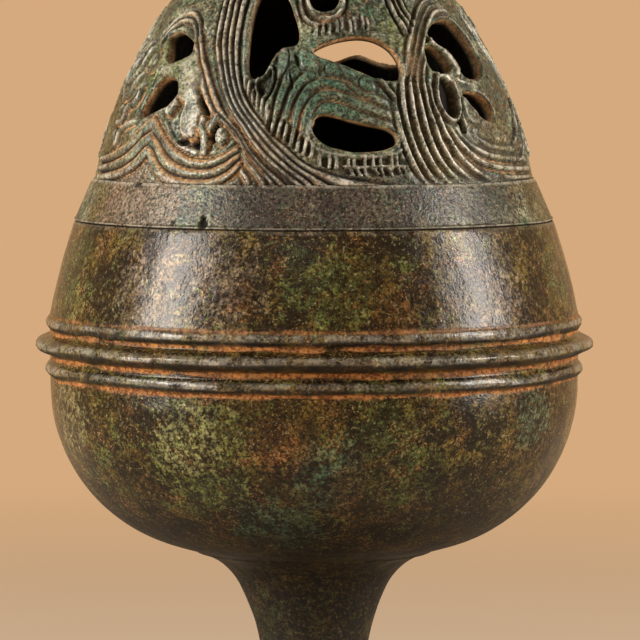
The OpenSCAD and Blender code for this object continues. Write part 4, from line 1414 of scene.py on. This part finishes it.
def foot_shape(r, z, degrees):
    """Worn rim and uneven slope of the foot, and the patina's marks."""
    points = place(r, degrees, z)
    out = np.minimum(r, FOOT_SWEEP[0] - 0.1) - FOOT_SWEEP[0]
    surface = FOOT_SWEEP[1] - np.sqrt(np.maximum(FOOT_SWEEP[2] ** 2 - out ** 2, 0))
    outside = (z > surface - 0.8) & (r > SPIGOT_R + 1) & (z > 0.3)
    rim = near(z - FOOT_RIM_H + 0.5, 0.8, 1) * (r > FOOT_R - 1)
    collar = near(r - COLLAR_R, 0.8, 1) * (z > COLLAR_LOW_Z)
    under_collar = near(z - COLLAR_GROOVE_Z, 0.9, 1) * outside
    step = near(r - STEP_R, 1.6, 1) * near(z - STEP_Z, 0.9, 1)
    marks = np.zeros(r.shape + (4,))
    marks[..., 0] = np.maximum(under_collar * (0.7 + 0.5 * cloud(points, 6, 44)),
                               step * (0.6 + 0.5 * cloud(points, 6, 45)))
    marks[..., 1] = np.maximum(rim, collar) * (0.5 + 0.4 * cloud(points, 5, 46))
    marks[..., 3] = ~outside & (z > 0.5) & (r < FOOT_R - FOOT_RING_W + 0.2)
    sway = 0.08 * cloud(points, 9, 47) * outside * smooth((z - 1) / 3)
    return r + rough(points, FOOT_ROUGH) * outside * smooth((z - 0.1) / 0.8), z + sway, marks


# Patina, with painted shade and painted highlights

def srgb(red, green, blue):
    """Linear colour from 0-255 display values."""
    def linear(v):
        v /= 255
        return v / 12.92 if v <= 0.04045 else ((v + 0.055) / 1.055) ** 2.4
    return (linear(red), linear(green), linear(blue), 1)


class Nodes:
    """Short calls for the nodes of one tree."""

    def __init__(self, owner):
        owner.use_nodes = True
        self.tree = owner.node_tree
        self.tree.nodes.clear()

    def node(self, kind, **settings):
        """A new node with some settings."""
        node = self.tree.nodes.new("ShaderNode" + kind)
        for key, value in settings.items():
            setattr(node, key, value)
        return node

    def feed(self, socket, value):
        """Links an output to a socket or sets a plain value on it."""
        if isinstance(value, bpy.types.NodeSocket):
            self.tree.links.new(value, socket)
        else:
            socket.default_value = value

    def made(self, kind, inputs, output=0, **settings):
        """The output of a new node whose inputs, by number or name, are fed with values."""
        node = self.node(kind, **settings)
        for key, value in inputs.items():
            self.feed(node.inputs[key], value)
        return node.outputs[output]

    def math(self, operation, a, b, c=0.5):
        """Arithmetic on up to three values."""
        return self.made("Math", {0: a, 1: b, 2: c}, operation=operation)

    def step(self, value, low, high):
        """Eased step of a value from low to high."""
        inputs = {"Value": value, "From Min": low, "From Max": high}
        return self.made("MapRange", inputs, interpolation_type="SMOOTHSTEP")

    def seen_directly(self):
        """1 for rays from the camera, also by way of gloss or glass, and 0 for the light on the censer."""
        path = self.node("LightPath").outputs
        camera_or_gloss = self.math("MAXIMUM", path["Is Camera Ray"], path["Is Glossy Ray"])
        return self.math("MAXIMUM", camera_or_gloss, path["Is Transmission Ray"])

    def finish(self, kind, shader):
        """Links a shader to the tree's output."""
        self.feed(self.node("Output" + kind).inputs[0], shader)


class Graph(Nodes):
    """Short calls for the nodes of one material, with places in mm."""

    def __init__(self, name):
        self.material = bpy.data.materials.new(name)
        super().__init__(self.material)
        self.shader = self.node("BsdfPrincipled")
        self.finish("Material", self.shader.outputs[0])
        self.position = self.vector("MULTIPLY", self.node("TexCoord").outputs["Object"], (1 / MM,) * 3)

    def shade(self, **inputs):
        """Feeds the shader's inputs, named with _ for a space."""
        for name, value in inputs.items():
            self.feed(self.shader.inputs[name.replace("_", " ")], value)

    def roughen(self, height, strength, depth):
        """Fine grit of some depth in mm."""
        inputs = {"Height": height, "Strength": strength, "Distance": depth * MM}
        self.feed(self.shader.inputs["Normal"], self.made("Bump", inputs))

    def vector(self, operation, a, b, output="Vector"):
        """Arithmetic on two vectors."""
        return self.made("VectorMath", {0: a, 1: b}, output, operation=operation)

    def noise(self, size, detail, rough, warp, seed):
        """Uneven field from 0 to 1 with features about size mm across."""
        shifted = self.vector("ADD", self.position, (37.0 * seed, 11.0 * seed, 23.0 * seed))
        inputs = {"Vector": shifted, "Scale": 1 / size, "Detail": detail, "Roughness": rough,
                  "Distortion": warp}
        return self.made("TexNoise", inputs, "Fac")

    def mix(self, share, a, b):
        """Colour a with a share of colour b over it."""
        return self.made("Mix", {0: share, 6: a, 7: b}, 2, data_type="RGBA")

    def over(self, colour, tint, share, strength):
        """A colour with some of a tint over it, where the share is high."""
        return self.mix(self.math("MULTIPLY", share, strength), colour, tint)

    def blend(self, share, a, b):
        """Value a with a share of value b over it."""
        return self.made("Mix", {0: share, 2: a, 3: b}, data_type="FLOAT")

    def wear(self):
        """The four marks of the mesh: soil, wear with painted highlights, dark with painted shade, and
        soot.
        """
        marks = self.node("Attribute", attribute_name="wear").outputs
        parts = self.node("SeparateColor")
        self.feed(parts.inputs[0], marks["Color"])
        return (*parts.outputs, marks["Alpha"])

    def spread(self, value, low, high, least, most):
        """A value from low to high laid over least to most."""
        return self.blend(self.step(value, low, high), least, most)

    def scaled(self, colour, factor):
        """A colour made lighter or darker by a factor."""
        return self.made("VectorMath", {0: colour, "Scale": factor}, operation="SCALE")

    def broken(self, region, grain, low, high):
        """A region whose edge breaks up into the grain."""
        return self.step(self.math("ADD", region, grain), low, high)

    def spot(self, centre, reach, ragged):
        """A soft patch round a point, with an edge broken by an uneven field."""
        away = self.vector("DISTANCE", self.position, centre, "Value")
        loose = self.math("MULTIPLY_ADD", ragged, reach * 1.1, -reach * 0.55)
        return self.step(self.math("ADD", away, loose), reach, reach * 0.45)


DARK = srgb(28, 21, 7)
# for the dark mark, mostly painted shade
BLACK = srgb(14, 11, 6)
OLIVE = srgb(82, 67, 26)
UMBER = srgb(74, 48, 20)
MALACHITE = srgb(88, 98, 50)
DEEP_GREEN = srgb(48, 65, 30)
PALE_GREEN = srgb(146, 138, 98)
BLUE_GREEN = srgb(62, 96, 78)
RED_BROWN = srgb(100, 54, 24)
SOIL = srgb(206, 162, 114)
SOIL_DARK = srgb(128, 94, 58)
OCHRE = srgb(196, 134, 72)
# used for polished patina and for a painted sheen on the bands
MAUVE = srgb(126, 108, 94)
SLATE = srgb(58, 50, 46)
GREY_GREEN = srgb(134, 134, 106)
DARK_TEAL = srgb(56, 66, 52)
VERDIGRIS = srgb(72, 104, 82)
# pale worn metal, which also paints the highlights on crests
CREST = srgb(224, 217, 198)
SOOT = srgb(22, 17, 12)
IRON_DARK = srgb(58, 40, 30)
IRON_BLACK = srgb(40, 32, 28)
RUST = srgb(122, 70, 40)

# Patches on the bowl, stem and foot: point on the surface in mm, reach in mm, colour, strength
BODY_PATCHES = [
    ((-21, -46, 85), 17, MALACHITE, 0.9),
    ((-24, -45, 88), 10, PALE_GREEN, 0.45),
    ((-2, -50, 98), 15, UMBER, 0.6),
    ((-7, -41, 71), 12, BLUE_GREEN, 0.9),
    ((3, -49, 82), 11, BLUE_GREEN, 0.8),
    ((9, -47, 79), 9, RED_BROWN, 0.6),
    ((-6, -50, 87), 9, RED_BROWN, 0.7),
    ((-9, -51, 92), 8, DARK, 0.8),
    ((14, -50, 91), 10, DEEP_GREEN, 0.7),
    ((31, -33, 75), 16, DARK, 0.8),
    ((-33, -27, 71), 14, DARK, 0.8),
    ((-46, -20, 90), 11, PALE_GREEN, 0.5),
    # Mauve where the band's sheen falls: partly polished patina, partly a painted sheen
    ((-28, -40, 118), 14, MAUVE, 0.6),
    ((-15, -47, 117), 11, MAUVE, 0.4),
    ((33, -38, 115), 12, MAUVE, 0.6),
    ((-2, -48, 119), 9, DEEP_GREEN, 0.9),
    ((6, -50, 115), 10, DEEP_GREEN, 0.9),
    ((14, -48, 119), 10, DARK, 0.7),
    ((15, -49, 112), 7, RED_BROWN, 0.6),
    ((-45, -18, 120), 10, DEEP_GREEN, 0.9),
    ((-46, -22, 113), 8, MALACHITE, 0.8),
    ((47, -18, 118), 10, DEEP_GREEN, 0.8),
    ((44, -24, 90), 16, UMBER, 0.7),
    ((17, -47, 80), 13, DEEP_GREEN, 0.8),
    ((42, -30, 91), 9, BLUE_GREEN, 0.6),
    ((10, 46, 92), 20, MALACHITE, 0.8),
    ((-38, 30, 112), 15, BLUE_GREEN, 0.6),
    ((40, 26, 84), 16, RED_BROWN, 0.6),
    ((-30, 16, 8), 14, MALACHITE, 0.8),
    ((26, -24, 8), 12, BLUE_GREEN, 0.7),
    ((-8, -8, 46), 12, DEEP_GREEN, 0.8),
    ((6, 9, 38), 10, BLUE_GREEN, 0.7),
]

# Patches on the lid
LID_PATCHES = [
    ((-12, -45, 132), 11, SLATE, 0.9),
    ((-4, -46, 132), 12, SLATE, 0.9),
    ((4, -46, 132), 12, SLATE, 0.9),
    ((12, -45, 132), 12, SLATE, 0.9),
    ((22, -41, 132), 11, SLATE, 0.8),
    ((-40, -22, 132), 10, OLIVE, 0.8),
    ((-12, -33, 158), 9, DARK_TEAL, 0.9),
    ((6, -35, 158), 10, DARK_TEAL, 0.9),
    ((44, -12, 132), 11, OLIVE, 0.7),
    ((2, -36, 154), 14, BLUE_GREEN, 0.9),
    ((-14, -33, 158), 8, BLUE_GREEN, 0.7),
    ((-24, -26, 158), 8, MALACHITE, 0.8),
    ((-33, -20, 160), 10, MALACHITE, 0.8),
    ((20, -28, 166), 10, MALACHITE, 0.7),
    ((-42, -12, 146), 14, OLIVE, 0.8),
    ((34, -22, 146), 10, OLIVE, 0.6),
    ((-20, 34, 150), 16, MALACHITE, 0.7),
    ((28, 26, 142), 14, BLUE_GREEN, 0.6),
    ((0, 10, 184), 16, OLIVE, 0.6),
    # Mauve at the band's left: a painted sheen where light grazes it
    ((-36, -27, 132), 11, MAUVE, 0.8),
    ((-30, -35, 132), 10, MAUVE, 0.8),
    ((34, -32, 132), 12, SLATE, 0.7),
]

# Painted shade under the belly: heights between which the bowl's underside and stem darken, and between
# which the foot, which light reaches, is lighter again
UNDERSIDE = (88, 63)
FOOT_LIGHT = (34, 18)
UNDERSIDE_SHADE = 0.3
FOOT_SHADE = 0.75
UNDERSIDE_ROUGH = 0.7


def patina(name, ground, stain, green, patches, cover, blotch, crest_share, soil_tints, soil_from, gloss,
           grit, painted_underside_shade):
    """Old bronze: mottled ground, broken green clouds and patches, soil in hollows, worn crests; painted
    light and shade.
    """
    g = Graph(name)
    soil_mark, wear_and_highlight_mark, dark_and_shade_mark, soot_mark = g.wear()
    grain = g.noise(0.55, 3, 0.7, 0.0, 1)
    fleck = g.noise(0.42, 2, 0.6, 0.0, 2)
    mottle = g.noise(1.15, 5, 0.75, 0.3, 3)
    ragged = g.noise(6.0, 6, 0.62, 0.8, 4)
    colour = g.mix(g.broken(g.noise(9, 5, 0.6, 0.8, 5), mottle, 0.92, 1.12), *ground)
    colour = g.over(colour, stain, g.broken(ragged, grain, 1.06, 1.16), 0.8)
    green_from, green_tint = green
    drifts, specks = g.noise(6, 5, 0.62, 1.0, 6), g.noise(0.95, 5, 0.75, 0.3, 8)
    colour = g.over(colour, green_tint, g.broken(drifts, specks, green_from, green_from + 0.12), 0.8)
    for centre, reach, tint, strength in patches:
        spot = g.spot(centre, reach, ragged)
        share = g.broken(g.math("MULTIPLY", spot, 0.2), mottle, cover, cover + 0.22)
        share = g.math("MULTIPLY", share, g.step(spot, 0.0, 0.5))
        colour = g.over(colour, tint, share, strength)
    colour = g.over(colour, SOIL_DARK, g.broken(ragged, fleck, 1.12, 1.22), 0.6)
    colour = g.scaled(colour, g.spread(g.noise(5.5, 5, 0.65, 0.8, 15), 0.36, 0.64, *blotch))
    colour = g.scaled(colour, g.spread(g.noise(0.6, 4, 0.7, 0.2, 9), 0.36, 0.64, 0.05, 1.65))
    colour = g.over(colour, PALE_GREEN, g.broken(mottle, fleck, 1.12, 1.24), 0.6)
    worn = g.math("MULTIPLY", wear_and_highlight_mark, g.broken(g.noise(2.4, 4, 0.6, 0.4, 13), grain, 0.8, 1.2))
    # Worn crests in pale metal, and the painted highlights of the wear mark
    colour = g.over(colour, CREST, worn, crest_share)
    lumps = g.broken(g.noise(9, 3, 0.5, 0.4, 14), g.noise(1.6, 5, 0.7, 0.6, 7), soil_from, soil_from + 0.24)
    soil = g.math("MULTIPLY", soil_mark, lumps)
    colour = g.mix(soil, colour, g.mix(g.broken(mottle, grain, 0.85, 1.15), *soil_tints))
    # Painted shade: grooves, pockets, undersides of ribs, seam and casting holes go dark
    colour = g.mix(dark_and_shade_mark, colour, BLACK)
    colour = g.over(colour, SOOT, soot_mark, 0.85)
    dull = g.spread(mottle, 0.35, 0.65, *gloss)
    # Painted shade under the belly on the bowl's underside and the stem, easing off on the foot
    if painted_underside_shade:
        height = g.made("SeparateXYZ", {0: g.position}, 2)
        low, foot = g.step(height, *UNDERSIDE), g.step(height, *FOOT_LIGHT)
        colour = g.scaled(colour, g.blend(low, 1.0, g.blend(foot, UNDERSIDE_SHADE, FOOT_SHADE)))
        dull = g.blend(g.blend(foot, low, 0.0), dull, UNDERSIDE_ROUGH)
    dull = g.blend(worn, dull, 0.3)
    dull = g.blend(soil, dull, 0.9)
    dull = g.blend(g.math("MAXIMUM", soot_mark, dark_and_shade_mark), dull, 0.9)
    g.shade(Base_Color=colour, Roughness=dull, Metallic=0.1, Specular_IOR_Level=0.33)
    fine = g.math("ADD", g.noise(0.45, 1, 0.5, 0.0, 10), g.noise(0.8, 1, 0.5, 0.0, 11))
    coarse = g.math("MULTIPLY", g.noise(2.2, 2, 0.5, 0.3, 12), 0.7)
    g.roughen(g.math("ADD", g.math("MULTIPLY", fine, 0.6), coarse), 1.0, grit)
    return g.material


def rusted_iron(name):
    """Brown, flaking iron of the rivet."""
    g = Graph(name)
    flakes = g.noise(2.4, 6, 0.65, 0.8, 1)
    colour = g.mix(g.step(flakes, 0.35, 0.65), IRON_DARK, RUST)
    colour = g.mix(g.step(g.noise(0.7, 4, 0.7, 0.0, 2), 0.55, 0.75), colour, IRON_BLACK)
    g.shade(Base_Color=colour, Roughness=0.85, Metallic=0.1)
    g.roughen(flakes, 0.7, 0.4)
    return g.material


# Turned pieces: name, node, half outline, columns round the axis, and what shapes the points
CASTINGS = [
    ("cast_bowl", "bowl", bowl_outline, 560, bowl_shape),
    ("cast_stem", "stem", stem_outline, 240, stem_shape),
    ("cast_foot", "foot", foot_outline, 360, foot_shape),
]


def dress():
    """Makes the pieces, attaches each to its body, hides the model's node it stands for, and gives it its
    material.
    """
    body_bronze = patina(
        "bronze_body", (DARK, OLIVE), UMBER, (1.08, MALACHITE), BODY_PATCHES, cover=0.60,
        blotch=(0.45, 1.45), crest_share=0.6, soil_tints=(RED_BROWN, OCHRE), soil_from=0.74,
        gloss=(0.2, 0.34), grit=0.07, painted_underside_shade=True)
    lid_bronze = patina(
        "bronze_lid", (DARK_TEAL, GREY_GREEN), SLATE, (1.05, VERDIGRIS), LID_PATCHES, cover=0.52,
        blotch=(0.7, 1.2), crest_share=0.8, soil_tints=(SOIL_DARK, SOIL), soil_from=0.62,
        gloss=(0.3, 0.45), grit=0.12, painted_underside_shade=False)
    iron = rusted_iron("iron")
    made = [(hill_lid(), "lid", "hill_lid", "bronze_lid", lid_bronze)]
    for name, node, outline, columns, shape in CASTINGS:
        piece = turned_piece(name, outline(), columns, shape)
        made.append((piece, "vessel", node, "bronze_body", body_bronze))
    for piece, body, node, slot, material in made:
        piece.data.materials.append(material)
        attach(piece, body)
        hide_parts(node)
    for node in ("tie_rivet", "rivet_rove"):
        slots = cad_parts[node].data.materials
        slots.clear()
        slots.append(iron)


# Floor, light and camera

BACKDROP = srgb(213, 170, 126)
FLOOR_TINT = srgb(226, 200, 170)
WORLD_TINT = srgb(214, 190, 168)
WORLD_LIGHT = 0.08

# The floor's radius, and the distances over which it fades into the backdrop, in metres
FLOOR_R = 4
FLOOR_FADE = (0.15, 0.7)

# Soft boxes: name, degrees, height, distance and size in metres, watts
LAMPS = [
    ("left_box", -66, 0.42, 0.9, (0.3, 0.7), 13),
    ("right_box", 77, 0.42, 0.9, (0.24, 0.7), 11),
    ("front_box", -8, 0.85, 0.95, (0.4, 0.3), 0.5),
]
LAMP_TINT = (1.0, 0.96, 0.92)
LAMP_AIM = (0, 0, 0.11)

CAMERA_AWAY = 0.779
CAMERA_Z = 0.1639
CAMERA_X = 0.0012
CAMERA_PITCH = 4.14
CAMERA_LENS = 221.5
SENSOR_WIDTH = 36
NEAREST_SEEN = 0.01


def set_floor():
    """A plain pale floor that runs into the backdrop's colour far from the censer."""
    bpy.ops.mesh.primitive_circle_add(vertices=96, radius=FLOOR_R, fill_type="NGON")
    floor = bpy.context.object
    floor.name = "floor"
    material = bpy.data.materials.new("floor")
    g = Nodes(material)
    close = g.made("BsdfDiffuse", {0: FLOOR_TINT})
    far = g.made("Emission", {0: BACKDROP})
    away = g.made("VectorMath", {0: g.node("TexCoord").outputs["Object"]}, "Value", operation="LENGTH")
    share = g.math("MULTIPLY", g.step(away, *FLOOR_FADE), g.seen_directly())
    g.finish("Material", g.made("MixShader", {0: share, 1: close, 2: far}))
    floor.data.materials.append(material)
    floor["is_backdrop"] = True


def set_world():
    """A plain warm surround, the backdrop's colour to the camera and dimmer as light."""
    world = bpy.data.worlds.new("studio")
    bpy.context.scene.world = world
    g = Nodes(world)
    light = g.made("Background", {0: WORLD_TINT, 1: WORLD_LIGHT})
    seen = g.made("Background", {0: BACKDROP})
    g.finish("World", g.made("MixShader", {0: g.seen_directly(), 1: light, 2: seen}))


def set_lights():
    """Two tall soft boxes to the sides and a weak one above the front, which face the censer's middle."""
    for name, degrees, height, away, size, watts in LAMPS:
        lamp = bpy.data.lights.new(name, "AREA")
        lamp.shape = "RECTANGLE"
        lamp.size, lamp.size_y = size
        lamp.energy = watts
        lamp.color = LAMP_TINT
        holder = bpy.data.objects.new(name, lamp)
        holder.location = (away * math.sin(degrees * RAD), -away * math.cos(degrees * RAD), height)
        aim = Vector(LAMP_AIM) - holder.location
        holder.rotation_euler = aim.to_track_quat("-Z", "Y").to_euler()
        bpy.context.scene.collection.objects.link(holder)


def set_camera():
    """A long lens a little above the joint, looking slightly down, as in the photograph."""
    data = bpy.data.cameras.new("camera")
    data.sensor_width = SENSOR_WIDTH
    data.lens = CAMERA_LENS
    data.clip_start = NEAREST_SEEN
    camera = bpy.data.objects.new("camera", data)
    camera.location = (CAMERA_X, -CAMERA_AWAY, CAMERA_Z)
    camera.rotation_euler = ((90 - CAMERA_PITCH) * RAD, 0, 0)
    bpy.context.scene.collection.objects.link(camera)
    bpy.context.scene.camera = camera


dress()
set_floor()
set_world()
set_lights()
set_camera()
bpy.context.scene.view_settings.view_transform = "Standard"

boxes = {"cad": cad_box, "visual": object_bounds()}
{name: [list(map(float, corner)) for corner in box] for name, box in boxes.items()}
